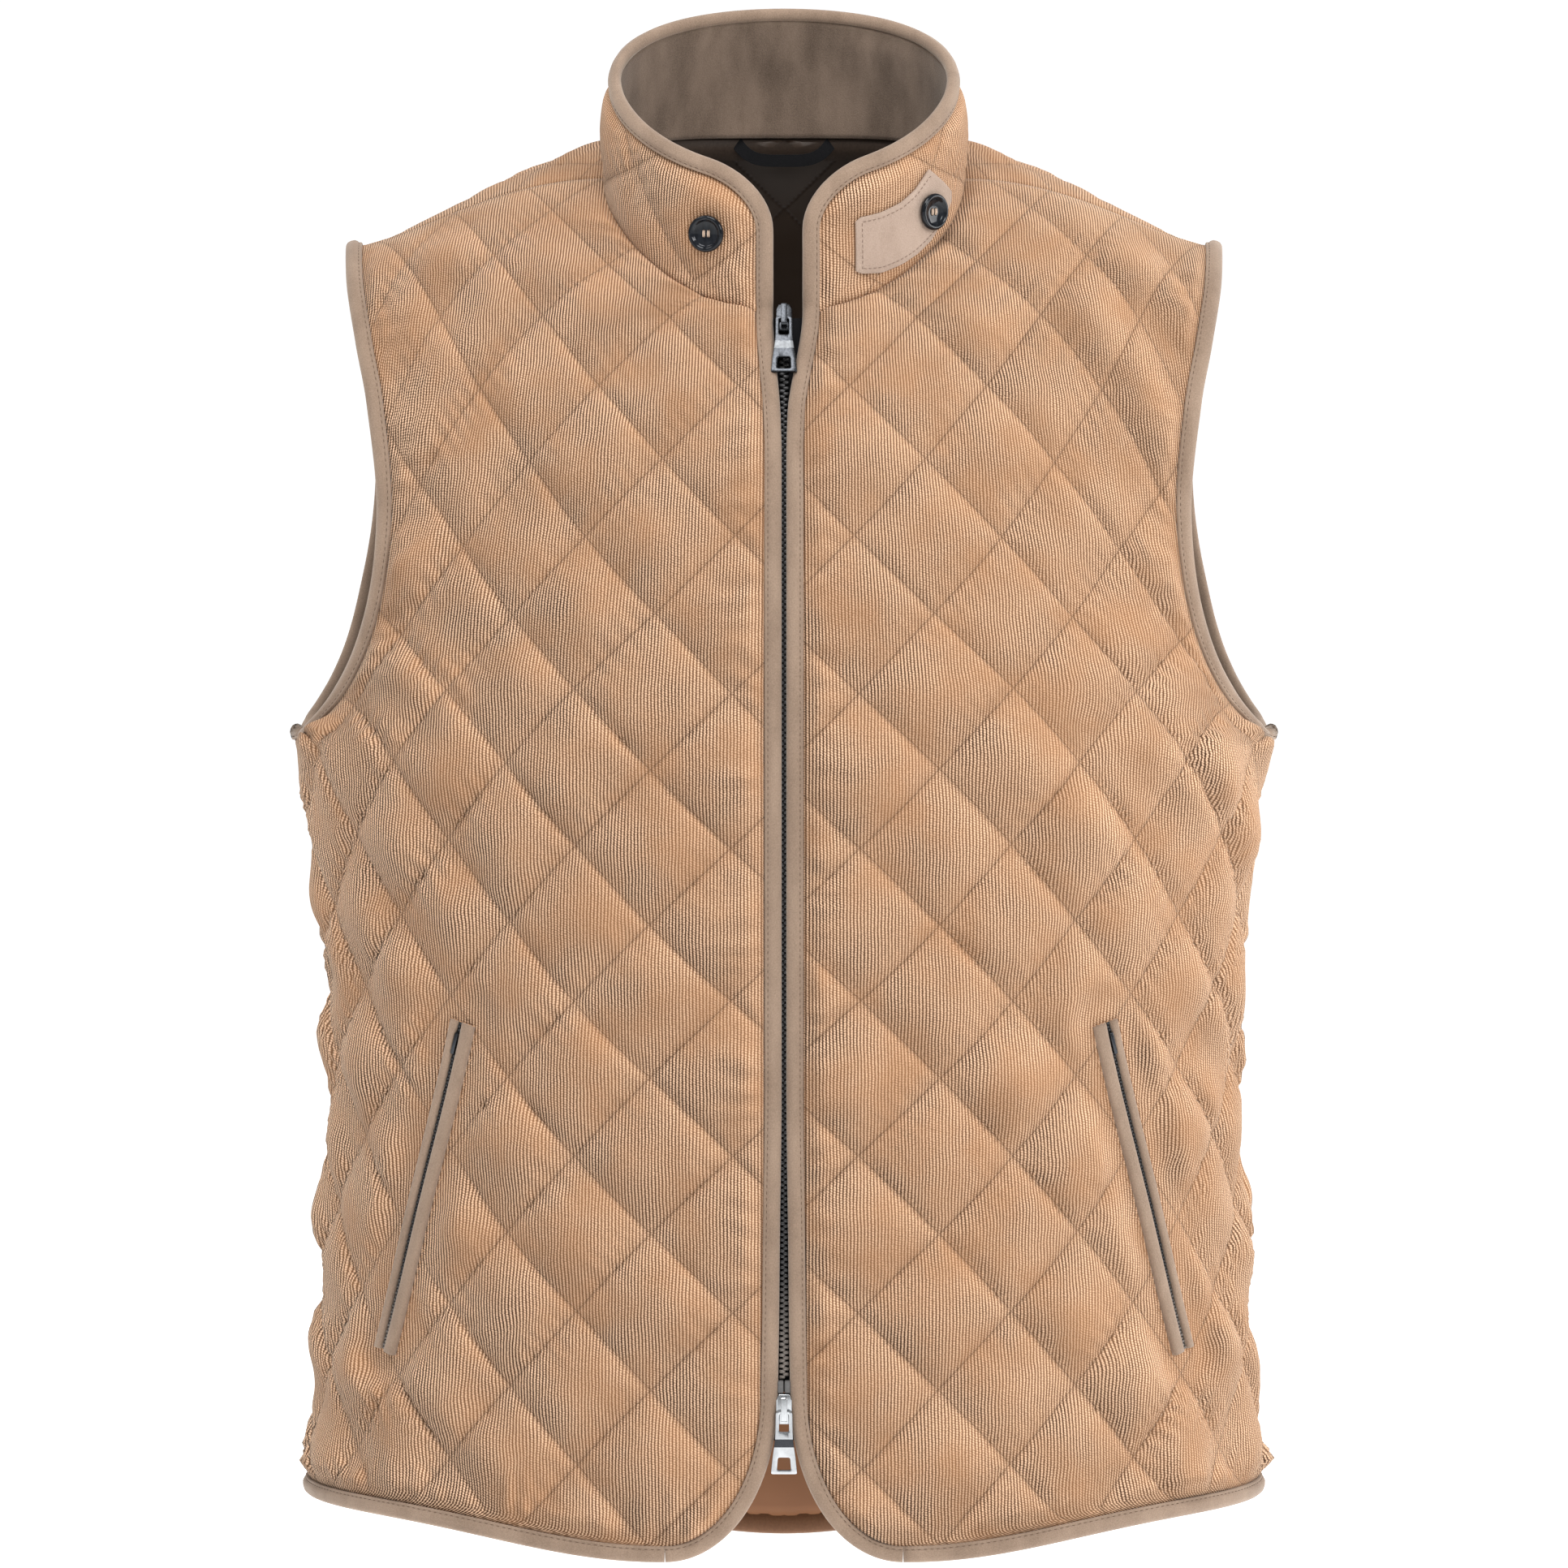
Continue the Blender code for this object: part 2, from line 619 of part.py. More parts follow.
def front_centre_frame(z):
    """The frame of the closed front at a height: x across, y up along the front, z out of it."""
    station = front_centre_station(z)
    step = 0.05
    low = Vector((0, *front_centre_yz(station - step)))
    high = Vector((0, *front_centre_yz(min(station + step, FRONT_NECK))))
    up = (high - low).normalized()
    frame = Matrix(((1, 0, 0), up, Vector((1, 0, 0)).cross(up))).transposed().to_4x4()
    frame.translation = Vector((0, *front_centre_yz(station)))
    return frame


def front_strip(name, outline, top_z, foot_z, material):
    """A strip that runs down the closed front; outline is a ring of across and outward places."""
    first, last = front_centre_station(foot_z), front_centre_station(top_z)
    inner = [s for s in front_stations() if first + 0.1 < s < last - 0.1]
    sections = []
    for station in [first] + inner + [last]:
        frame = front_centre_frame(front_centre_yz(station)[1])
        sections.append([frame @ Vector((x, 0, out)) for x, out in outline])
    return sweep(name, sections, material)


def rectangle(left, right, top, foot):
    return ((left, top), (right, top), (right, foot), (left, foot))


def make_zip():
    foot = TAPE_TOP - TAPE_THICKNESS
    left = rectangle(TAPE_INNER, TAPE_OUTER, TAPE_TOP, foot)
    right = rectangle(-TAPE_OUTER, -TAPE_INNER, TAPE_TOP, foot)
    front_strip("zip_tape_left", left, ZIP_TOP_Z, ZIP_FOOT_Z, "black_tape")
    front_strip("zip_tape_right", right, ZIP_TOP_Z, ZIP_FOOT_Z, "black_tape")
    chain_top = TOP_SLIDER_Z - SLIDER_HALF_HEIGHT - SEAM_GAP
    chain_foot = ZIP_BOX_Z + ZIP_BOX_SIZE[1] / 2 + SEAM_GAP
    chain = rectangle(-CHAIN_HALF_WIDTH, CHAIN_HALF_WIDTH, CHAIN_TOP, CHAIN_FOOT)
    front_strip("zip_chain", chain, chain_top, chain_foot, "black_teeth")
    middle = Matrix.Translation((0, 0, SLIDER_BACK + ZIP_BOX_SIZE[2] / 2))
    make_block("zip_box", ZIP_BOX_SIZE, front_centre_frame(ZIP_BOX_Z) @ middle, "gunmetal", ZIP_BOX_ROUNDING)


def make_block(name, size, matrix, material, rounding):
    bm = bmesh.new()
    bmesh.ops.create_cube(bm, size=1.0, matrix=Matrix.Diagonal((*size, 1)))
    bmesh.ops.bevel(bm, geom=bm.edges[:], offset=rounding, offset_type="OFFSET", affect="EDGES", segments=1,
                    profile=0.5, material=-1)
    return add_object(name, bm, material, matrix)


def make_bridge():
    """The staple on a slider's face: an outline seen from the side, pushed out across the slider."""
    foot = SLIDER_FACE - BRIDGE_SUNK
    shoulder = BRIDGE_OUT - BRIDGE_SLOPE
    outline = ((BRIDGE_FOOT, foot), (BRIDGE_FOOT, shoulder), (BRIDGE_FOOT + BRIDGE_SLOPE, BRIDGE_OUT),
               (BRIDGE_HEAD - BRIDGE_SLOPE, BRIDGE_OUT), (BRIDGE_HEAD, shoulder), (BRIDGE_HEAD, foot),
               (BRIDGE_HEAD - BRIDGE_WALL, foot), (BRIDGE_HEAD - BRIDGE_WALL, BRIDGE_EYE_OUT),
               (BRIDGE_FOOT + BRIDGE_WALL, BRIDGE_EYE_OUT), (BRIDGE_FOOT + BRIDGE_WALL, foot))
    bm = bmesh.new()
    face = bm.faces.new([bm.verts.new((-BRIDGE_HALF_WIDTH, y, z)) for y, z in outline])
    made = bmesh.ops.extrude_face_region(bm, geom=[face], use_keep_orig=True)
    pushed = [part for part in made["geom"] if isinstance(part, bmesh.types.BMVert)]
    bmesh.ops.translate(bm, verts=pushed, vec=(2 * BRIDGE_HALF_WIDTH, 0, 0))
    bridge = add_object("bridge_guide", bm, "gunmetal")
    bridge.hide_render = True
    bridge.display_type = "WIRE"
    return bridge


def make_slider(name, z, bridge):
    frame = front_centre_frame(z)
    depth = SLIDER_FACE - SLIDER_BACK
    bm = bmesh.new()
    size = Matrix.Diagonal((2 * SLIDER_HALF_WIDTH, 2 * SLIDER_HALF_HEIGHT, depth, 1))
    bmesh.ops.create_cube(bm, size=1.0, matrix=Matrix.Translation((0, 0, SLIDER_BACK + depth / 2)) @ size)
    upright = [e for e in bm.edges if abs((e.verts[0].co - e.verts[1].co).z) > depth / 2]
    bmesh.ops.bevel(bm, geom=upright, offset=SLIDER_ROUNDING, offset_type="OFFSET", affect="EDGES",
                    segments=3, profile=0.5, material=-1)
    slider = add_object(name, bm, "gunmetal", frame)
    guide = bridge.copy()
    guide.name = name + "_guide"
    guide.matrix_world = frame
    bpy.context.scene.collection.objects.link(guide)
    union = slider.modifiers.new("bridge", "BOOLEAN")
    union.operation = "UNION"
    union.solver = "EXACT"
    union.object = guide
    return frame


def make_pull(name, slider_frame):
    """A plate with two windows that hangs from the slider's bridge; its origin is on the hinge axis."""
    half = PULL_THICKNESS / 2
    rows = len(PULL_LEVELS) - 1

    def place(column, row):
        level = PULL_LEVELS[row]
        x = (-level.half_width, -level.window, level.window, level.half_width)[column]
        return Vector((x, -level.drop, half)), Vector((x, -level.drop, -half))

    bm = bmesh.new()
    add_grid(bm, 3, rows, place)
    windows = []
    for face in bm.faces:
        middle = face.calc_center_median()
        for row in PULL_WINDOW_ROWS:
            inside = PULL_LEVELS[row].drop < -middle.y < PULL_LEVELS[row + 1].drop
            if inside and abs(middle.x) < PULL_LEVELS[row].window / 2:
                windows.append(face)
    bmesh.ops.delete(bm, geom=windows, context="FACES")
    thicken(bm)
    axis = slider_frame @ Matrix.Translation((0, PULL_AXIS_UP, PULL_AXIS_OUT))
    return add_object(name, bm, "gunmetal", axis)


# Pockets

def pocket_frames(side):
    """Frames down the pocket line: the point, the way across towards the side seam, and the way out."""
    top, foot = front_place(*POCKET_TOP), front_place(*POCKET_FOOT)
    places = [(top[0] + (foot[0] - top[0]) * t, top[1] + (foot[1] - top[1]) * t)
              for t in np.linspace(0, 1, POCKET_STATIONS)]
    points = [shell(across, station, side) for across, station in places]
    normals = [shell_normal(across, station, side) for across, station in places]
    insides = [shell(across - 0.05, station, side) for across, station in places]
    return edge_frames(points, normals, insides)


def pocket_strip(name, frames, inner, outer, thickness, material):
    """A strip along the pocket line, between two distances from it, on top of the cloth."""
    edge = min(thickness, outer - inner) / 3
    top = WELT_LIFT + thickness
    outline = ((inner, WELT_LIFT), (inner, top - edge), (inner + edge, top), (outer - edge, top),
               (outer, top - edge), (outer, WELT_LIFT))
    sections = [[f.point + f.outward * a + f.normal * up for a, up in outline] for f in frames]
    return sweep(name, sections, material)


def make_pocket(word, side):
    frames = pocket_frames(side)
    half = POCKET_GAP / 2
    front, side_most = half + FRONT_WELT_WIDTH, half + SIDE_WELT_WIDTH
    pocket_strip("pocket_welt_front_" + word, frames, -front, -half, WELT_THICKNESS, "suede")
    pocket_strip("pocket_welt_side_" + word, frames, half, side_most, WELT_THICKNESS, "suede")
    inset = half - SEAM_GAP
    pocket_strip("pocket_zip_" + word, frames, -inset, inset, POCKET_ZIP_THICKNESS, "black_teeth")
    at = POCKET_SLIDER_ALONG * (POCKET_STATIONS - 1)
    one, two = frames[int(at)], frames[int(at) + 1]
    along = (one.point - two.point).normalized()
    point = one.point.lerp(two.point, at - int(at))
    lift = WELT_LIFT + POCKET_ZIP_THICKNESS + SEAM_GAP + POCKET_SLIDER_SIZE[2] / 2
    across = along.cross(one.normal)
    matrix = Matrix((across, along, one.normal)).transposed().to_4x4()
    matrix.translation = point + one.normal * lift
    make_block("pocket_slider_" + word, POCKET_SLIDER_SIZE, matrix, "gunmetal", POCKET_SLIDER_ROUNDING)


# Hanger loop

def make_hanger_loop(name):
    depth, height = LOOP_TOP
    sections = []
    for t in np.linspace(-1, 1, LOOP_STEPS + 1):
        fall = 1 - t * t
        centre = Vector((LOOP_HALF_SPAN * t, depth - LOOP_BOW * fall, height - LOOP_SAG * fall))
        slope = math.atan2(2 * LOOP_SAG * t, LOOP_HALF_SPAN)
        up = Vector((-math.sin(slope), 0, math.cos(slope))) * LOOP_BAND / 2
        out = Vector((0, LOOP_THICKNESS / 2, 0))
        sections.append([centre + up + out, centre + up - out, centre - up - out, centre - up + out])
    return sweep(name, sections, "black_tape")


def main():
    clear_scene()
    for word, side in (("left", 1), ("right", -1)):
        make_front("front_" + word, side, 0.0, -OUTER_CLOTH, "corduroy")
        make_front("lining_front_" + word, side, LINING_TOP, LINING_FOOT, "lining")
        make_front_binding("front_binding_" + word, side)
        make_armhole_binding("armhole_binding_" + word, side)
        make_pocket(word, side)
    make_back("back", 0.0, -OUTER_CLOTH, "corduroy")
    make_back("lining_back", LINING_TOP, LINING_FOOT, "lining")
    make_hem_binding("hem_binding")
    make_collar("collar", 0.0, -OUTER_CLOTH, "corduroy")
    make_collar("collar_facing", LINING_TOP, LINING_FOOT, "suede")
    make_collar_binding("collar_binding")
    make_tab("collar_tab")
    make_button("collar_button", *COLLAR_BUTTON, BUTTON_LIFT)
    make_button("tab_button", *TAB_BUTTON, TAB_LIFT + TAB_THICKNESS + BUTTON_LIFT)
    make_zip()
    bridge = make_bridge()
    for word, z in (("top", TOP_SLIDER_Z), ("bottom", BOTTOM_SLIDER_Z)):
        make_pull(word + "_pull", make_slider(word + "_slider", z, bridge))
    make_hanger_loop("hanger_loop")


main()
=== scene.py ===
# %% [markdown]
# # A quilted corduroy gilet
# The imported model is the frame: it says where every panel, binding, button and zip part is, in metres, with
# +Z up and the front facing -Y. This lesson dresses that frame. The cloth is made again as fine sheets on
# the same shell surface, quilted by moving their points, and each finish is a set of nodes. "Left" is the
# wearer's left, on +X.

# %% Load the frame
import json
import math
from collections import namedtuple

import bmesh
import bpy
import numpy as np
from mathutils import Matrix, Vector

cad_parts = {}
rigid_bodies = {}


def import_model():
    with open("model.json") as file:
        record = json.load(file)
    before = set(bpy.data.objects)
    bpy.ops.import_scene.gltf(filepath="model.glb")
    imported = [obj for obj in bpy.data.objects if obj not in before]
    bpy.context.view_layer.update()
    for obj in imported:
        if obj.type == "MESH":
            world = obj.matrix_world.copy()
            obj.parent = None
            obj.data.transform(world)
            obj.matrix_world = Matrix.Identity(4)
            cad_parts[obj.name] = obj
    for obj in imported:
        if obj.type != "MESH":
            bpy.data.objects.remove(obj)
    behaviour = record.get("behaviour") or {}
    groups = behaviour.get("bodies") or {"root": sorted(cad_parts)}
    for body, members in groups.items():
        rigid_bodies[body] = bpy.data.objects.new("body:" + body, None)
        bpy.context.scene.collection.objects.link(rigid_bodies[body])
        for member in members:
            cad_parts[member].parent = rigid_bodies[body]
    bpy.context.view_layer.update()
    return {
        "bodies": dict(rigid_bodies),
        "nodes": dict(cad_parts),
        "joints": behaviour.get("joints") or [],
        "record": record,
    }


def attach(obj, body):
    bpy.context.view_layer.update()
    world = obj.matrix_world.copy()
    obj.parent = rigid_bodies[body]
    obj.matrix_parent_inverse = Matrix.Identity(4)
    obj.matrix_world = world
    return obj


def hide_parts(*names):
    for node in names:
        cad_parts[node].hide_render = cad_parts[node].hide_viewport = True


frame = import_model()
BODY = "gilet"

# %% [markdown]
# ## Camera
# A product picture like this is taken from far away with a long lens, so the garment shows almost no
# perspective. The camera stands six metres off, six degrees above the middle of the garment, and looks
# straight at it. The lens follows from how many pixels one metre at that distance takes up in the square
# picture.

# %% Place the camera
IMAGE_PIXELS = 1932
FOCAL_PIXELS = 15000
SENSOR_MM = 36.0
CAMERA_DISTANCE = 6.0
CAMERA_RISE = math.radians(6)
AIM = Vector((0, 0, -0.310))

camera_data = bpy.data.cameras.new("camera")
camera_data.sensor_width = SENSOR_MM
camera_data.lens = FOCAL_PIXELS / IMAGE_PIXELS * SENSOR_MM
camera = bpy.data.objects.new("camera", camera_data)
back_off = Vector((0, -math.cos(CAMERA_RISE), math.sin(CAMERA_RISE))) * CAMERA_DISTANCE
camera.location = AIM + back_off
camera.rotation_euler = (-back_off).to_track_quat("-Z", "Y").to_euler()
bpy.context.scene.collection.objects.link(camera)
bpy.context.scene.camera = camera
print("lens:", round(camera_data.lens, 1), "mm")

# %% [markdown]
# ## Light and floor
# Soft light comes from large area lamps: the bigger the lamp, the softer the shadow. The key lamp stands to
# the right and above, so that each quilted pad has a light and a shaded flank. A weaker lamp fills the
# left, a strip on each side grazes the pile and makes it shine, and a pale world lights the rest. The floor
# is far below.

# %% Make the lamps and the floor
Lamp = namedtuple("Lamp", "name place size watts")
LAMPS = (
    Lamp("key_lamp", (1.9, -2.2, 1.4), 1.2, 54),
    Lamp("fill_lamp", (-2.4, -2.6, 1.9), 1.8, 3),
    Lamp("right_strip", (2.6, 0.3, 0.2), 1.4, 34),
    Lamp("left_strip", (-1.8, -0.3, 2.2), 1.2, 20),
    Lamp("top_lamp", (-0.3, -1.2, 2.4), 1.4, 58),
    Lamp("back_lamp", (0.2, 2.6, 1.8), 1.8, 40),
)
WORLD_BRIGHTNESS = 0.36
FLOOR_GLOW = 0.74
FLOOR_Z = -1.15
FLOOR_REACH = 60.0


def add_lamp(lamp):
    """A square area lamp that shines at the middle of the garment."""
    data = bpy.data.lights.new(lamp.name, "AREA")
    data.size = lamp.size
    data.energy = lamp.watts
    thing = bpy.data.objects.new(lamp.name, data)
    thing.location = lamp.place
    thing.rotation_euler = (AIM - thing.location).to_track_quat("-Z", "Y").to_euler()
    bpy.context.scene.collection.objects.link(thing)


for lamp in LAMPS:
    add_lamp(lamp)
world = bpy.data.worlds.new("studio")
world.use_nodes = True
world.node_tree.nodes["Background"].inputs["Color"].default_value = (1.0, 1.0, 1.0, 1.0)
world.node_tree.nodes["Background"].inputs["Strength"].default_value = WORLD_BRIGHTNESS
bpy.context.scene.world = world
bpy.context.scene.view_settings.view_transform = "Standard"

floor_bm = bmesh.new()
bmesh.ops.create_grid(floor_bm, x_segments=1, y_segments=1, size=FLOOR_REACH,
                      matrix=Matrix.Translation((0, 0, FLOOR_Z)))
floor_mesh = bpy.data.meshes.new("floor")
floor_bm.to_mesh(floor_mesh)
floor_bm.free()
floor = bpy.data.objects.new("floor", floor_mesh)
bpy.context.scene.collection.objects.link(floor)
print("lamps:", len(LAMPS), "floor at", FLOOR_Z)

# %% [markdown]
# ## Nodes in short
# Every finish below is a tree of shader nodes. Three small helpers keep those trees readable: `node` adds a
# node and wires or sets its inputs, `calc` adds one step of arithmetic, and `blend` mixes two colours. A
# value that is the same all over goes straight onto the shader's own socket.

# %% Helpers for materials
def connect(tree, socket, value):
    """Wires a socket to another one, or sets it to a plain value."""
    if isinstance(value, bpy.types.NodeSocket):
        tree.links.new(value, socket)
    else:
        socket.default_value = value


def node(tree, kind, inputs, **settings):
    made = tree.nodes.new(kind)
    for key, value in settings.items():
        setattr(made, key, value)
    for key, value in inputs.items():
        connect(tree, made.inputs[key], value)
    return made


def calc(tree, operation, *values):
    made = tree.nodes.new("ShaderNodeMath")
    made.operation = operation
    for socket, value in zip(made.inputs, values):
        connect(tree, socket, value)
    return made.outputs[0]


def blend(tree, share, one, two, mode="MIX"):
    """Colour one, turning into colour two as the share goes from 0 to 1."""
    made = tree.nodes.new("ShaderNodeMix")
    made.data_type = "RGBA"
    made.blend_type = mode
    factor, first, second = (made.inputs[i] for i in (0, 6, 7))
    for socket, value in ((factor, share), (first, one), (second, two)):
        connect(tree, socket, value)
    return made.outputs[2]


def spread(tree, value, low, high, to_low=0.0, to_high=1.0):
    """A value's range, moved to another range with soft ends."""
    made = node(tree, "ShaderNodeMapRange", {"Value": value, "From Min": low, "From Max": high,
                                             "To Min": to_low, "To Max": to_high},
                interpolation_type="SMOOTHSTEP")
    return made.outputs["Result"]


def noise(tree, vector, scale, detail=2.0):
    made = node(tree, "ShaderNodeTexNoise", {"Vector": vector, "Scale": scale, "Detail": detail})
    return made.outputs["Fac"]


def object_place(tree):
    return tree.nodes.new("ShaderNodeTexCoord").outputs["Object"]


def map_place(tree, name):
    made = tree.nodes.new("ShaderNodeUVMap")
    made.uv_map = name
    return made.outputs["UV"]


def bumped(tree, height, depth):
    """A normal that is tilted as if the surface rose by depth where height is 1."""
    return node(tree, "ShaderNodeBump", {"Height": height, "Distance": depth}).outputs["Normal"]


def new_finish(name, plain):
    """A new material, its tree and its shader's sockets, with the plain values set on them."""
    material = bpy.data.materials.new(name)
    material.use_nodes = True
    tree = material.node_tree
    sockets = tree.nodes["Principled BSDF"].inputs
    for key, value in plain.items():
        sockets[key].default_value = value
    return material, tree, sockets


print("node helpers ready")

# %% [markdown]
# ## Floor finish
# The floor is plain pale paper on a light table: it glows a little by itself, so it stays white where the
# lamps don't reach. A faint large noise keeps it from being one flat colour.

# %% Paint the floor
floor_finish, tree, sockets = new_finish("pale_paper", {
    "Roughness": 0.9, "Emission Color": (1.0, 1.0, 1.0, 1.0), "Emission Strength": FLOOR_GLOW})
paper = noise(tree, object_place(tree), 0.6)
connect(tree, sockets["Base Color"], blend(tree, paper, (0.93, 0.93, 0.93, 1), (0.97, 0.97, 0.97, 1)))
floor_mesh.materials.append(floor_finish)
print("floor finish:", floor_finish.name)

# %% [markdown]
# ## Corduroy
# Corduroy is cotton with a cut pile that stands in ribs, called wales, under 2 mm apart here. A wale is
# light on its crown, and the valley beside it is painted dark: painted shade in that recess. The pile
# shows small beads along each wale where the tufts are woven in. Modelling each rib would take millions
# of faces, so ribs and beads are drawn by sine waves on the flat cloth's own map, "cloth", in metres: as
# colour and as bump. The pile leans over to the right. A map called "tilt" says which way each pad's flank
# faces. Flanks and sides that face right, towards the key lamp, get pale, shallow valleys, a painted sheen
# and painted light. Those that face left get deep, dark valleys, painted shade. Random patches of nap shift
# this about. Flanks that face up are painted lighter and flanks that face down darker, painted light from
# above. The map "quilt" counts the quilting lines: where one of its numbers is whole, a fine thread runs in
# a soft trough. The trough and the groove between the thread's dashes are painted darker, a painted shade.

# %% Weave the corduroy
WALE_PITCH = 0.00165
BEAD_PITCH = 0.0012
THREAD_PITCH = 0.058
FULL_TURN = 2 * math.pi


def wave(tree, phase):
    """A wave between 0 and 1, one for each whole step of the phase."""
    turned = calc(tree, "COSINE", calc(tree, "MULTIPLY", phase, FULL_TURN))
    return calc(tree, "MULTIPLY_ADD", turned, 0.5, 0.5)


def quilt_thread_and_groove_shade(tree, reach):
    """Dashes of quilting thread, 1 where it dips into the cloth, over a painted shade of its groove, 0.5
    between the dashes; 0 from that reach on, in steps of the quilting.
    """
    lines = node(tree, "ShaderNodeSeparateXYZ", {"Vector": map_place(tree, "quilt")})
    marks = []
    for line, along in (("X", "Y"), ("Y", "X")):
        away = calc(tree, "PINGPONG", lines.outputs[line], 0.5)
        dash = wave(tree, calc(tree, "DIVIDE", lines.outputs[along], THREAD_PITCH))
        near = spread(tree, away, 0.0, reach, 1.0, 0.0)
        marks.append(calc(tree, "MULTIPLY", near, calc(tree, "MULTIPLY_ADD", dash, 0.5, 0.5)))
    return calc(tree, "MAXIMUM", *marks)


def quilt_trough_shade(tree, reach):
    """A painted shade in the trough along the quilting lines: 0.90 on a line and 1 from that reach on."""
    lines = node(tree, "ShaderNodeSeparateXYZ", {"Vector": map_place(tree, "quilt")})
    away = [calc(tree, "PINGPONG", lines.outputs[axis], 0.5) for axis in ("X", "Y")]
    return spread(tree, calc(tree, "MINIMUM", *away), 0.0, reach, 0.90, 1.0)


corduroy, tree, sockets = new_finish("corduroy", {
    "Roughness": 0.92, "Specular IOR Level": 0.12,
    "Sheen Weight": 0.30, "Sheen Roughness": 0.40, "Sheen Tint": (1.0, 0.84, 0.68, 1.0)})
cloth = map_place(tree, "cloth")
place = node(tree, "ShaderNodeSeparateXYZ", {"Vector": cloth})
sway = calc(tree, "MULTIPLY_ADD", noise(tree, cloth, 90.0), 0.0004, place.outputs["X"])
wale_count = calc(tree, "DIVIDE", sway, WALE_PITCH)
wale = calc(tree, "POWER", wave(tree, wale_count), 0.7)
wale_number = calc(tree, "FLOOR", wale_count)
own_start = node(tree, "ShaderNodeTexWhiteNoise", {"W": wale_number}, noise_dimensions="1D")
bead_count = calc(tree, "DIVIDE", place.outputs["Y"], BEAD_PITCH)
bead_count = calc(tree, "ADD", bead_count, own_start.outputs["Value"])
bead = wave(tree, calc(tree, "MULTIPLY_ADD", calc(tree, "FRACT", wale_count), 0.6, bead_count))
tufts = noise(tree, cloth, 1100.0, 4.0)
pile = calc(tree, "MULTIPLY", wale, calc(tree, "MULTIPLY_ADD", bead, 0.55, 0.45))
pile = calc(tree, "MULTIPLY_ADD", calc(tree, "SUBTRACT", tufts, 0.5), 0.85, pile)

outward = tree.nodes.new("ShaderNodeNewGeometry").outputs["Normal"]
facing_right = node(tree, "ShaderNodeSeparateXYZ", {"Vector": outward}).outputs["X"]
tilt = node(tree, "ShaderNodeSeparateXYZ", {"Vector": map_place(tree, "tilt")})
patches = spread(tree, noise(tree, cloth, 34.0, 5.0), 0.3, 0.7, -0.24, 0.24)
# painted sheen and painted light on surfaces that face right, towards the key lamp: pale crowns and shallow
# valleys; painted shade on those that face left: deep, dark valleys. The random patches are real nap.
tone_mix = calc(tree, "MULTIPLY_ADD", facing_right, 0.60, patches)
tone_mix = calc(tree, "MULTIPLY_ADD", tilt.outputs["X"], 0.65, tone_mix)
patches_and_painted_sheen = spread(tree, tone_mix, -0.55, 0.55)
# painted light from above: flanks that face up, and a little right, are made lighter and flanks that face
# down darker
painted_light_from_above = calc(tree, "MULTIPLY_ADD", tilt.outputs["X"], 0.25, tilt.outputs["Y"])
# painted shade: the dark valley colour, where the pile is low between wales and beads, stands for the shade
# that falls there
valley_shade = blend(tree, patches_and_painted_sheen, (0.042, 0.017, 0.007, 1), (0.190, 0.094, 0.046, 1))
crown = blend(tree, patches_and_painted_sheen, (0.800, 0.528, 0.352, 1), (0.760, 0.494, 0.320, 1))
ribs = blend(tree, spread(tree, pile, 0.05, 0.93), valley_shade, crown)
clouds = spread(tree, noise(tree, cloth, 26.0, 6.0), 0.38, 0.70)
ribs = blend(tree, calc(tree, "MULTIPLY", clouds, 0.45), ribs, (0.345, 0.168, 0.076, 1))
# the painted light from above brightens or darkens the whole colour
ribs = blend(tree, 1.0, ribs, spread(tree, painted_light_from_above, -0.50, 0.50, 0.78, 1.14), "MULTIPLY")
thread_and_groove_shade, trough_shade = quilt_thread_and_groove_shade(tree, 0.010), quilt_trough_shade(tree, 0.040)
# painted shade in the trough beside each quilting line
ribs = blend(tree, 1.0, ribs, trough_shade, "MULTIPLY")
# dark thread dashes, with a painted shade of the groove between them
stitched_and_groove_shaded = blend(tree, calc(tree, "MULTIPLY", thread_and_groove_shade, 0.50), ribs, (0.090, 0.040, 0.018, 1))
connect(tree, sockets["Base Color"], stitched_and_groove_shaded)
height = calc(tree, "SUBTRACT", pile, thread_and_groove_shade)
connect(tree, sockets["Normal"], bumped(tree, height, 0.00030))
print("corduroy:", len(tree.nodes), "nodes")

# %% [markdown]
# ## Suede
# The bindings, pocket welts, tab and collar facing are suede: leather with a short nap. It has no gloss at
# all, a very fine grain, and soft clouds where the nap was stroked one way or the other. Those are three
# noises of different scale on Object coordinates, mixed into the colour and, for the grain, into the bump.

# %% Cure the suede
def make_suede(name, dark, light, stroked=0.20):
    material, tree, sockets = new_finish(name, {
        "Roughness": 0.95, "Specular IOR Level": 0.1,
        "Sheen Weight": 0.35, "Sheen Roughness": 0.5, "Sheen Tint": (1.0, 0.93, 0.86, 1.0)})
    place = object_place(tree)
    grain = noise(tree, place, 1800.0, 3.0)
    upright = node(tree, "ShaderNodeMapping", {"Vector": place, "Scale": (1.0, 1.0, 0.4)}).outputs[0]
    clouds = spread(tree, noise(tree, upright, 55.0, 4.0), 0.3, 0.7)
    strokes = noise(tree, upright, 160.0)
    tone_mix = calc(tree, "ADD", calc(tree, "MULTIPLY", clouds, stroked), calc(tree, "MULTIPLY", strokes, 0.25))
    tone_mix = calc(tree, "MULTIPLY_ADD", grain, 0.75, calc(tree, "SUBTRACT", tone_mix, stroked / 2))
    connect(tree, sockets["Base Color"], blend(tree, tone_mix, dark, light))
    connect(tree, sockets["Normal"], bumped(tree, grain, 0.00022))
    return material


suede = make_suede("taupe_suede", (0.135, 0.089, 0.061, 1), (0.385, 0.280, 0.206, 1))
pale_suede = make_suede("pale_suede", (0.225, 0.158, 0.119, 1), (0.470, 0.362, 0.294, 1))
facing_suede = make_suede("facing_suede", (0.062, 0.043, 0.031, 1), (0.240, 0.174, 0.130, 1), 0.42)
print("suedes:", suede.name, pale_suede.name, facing_suede.name)
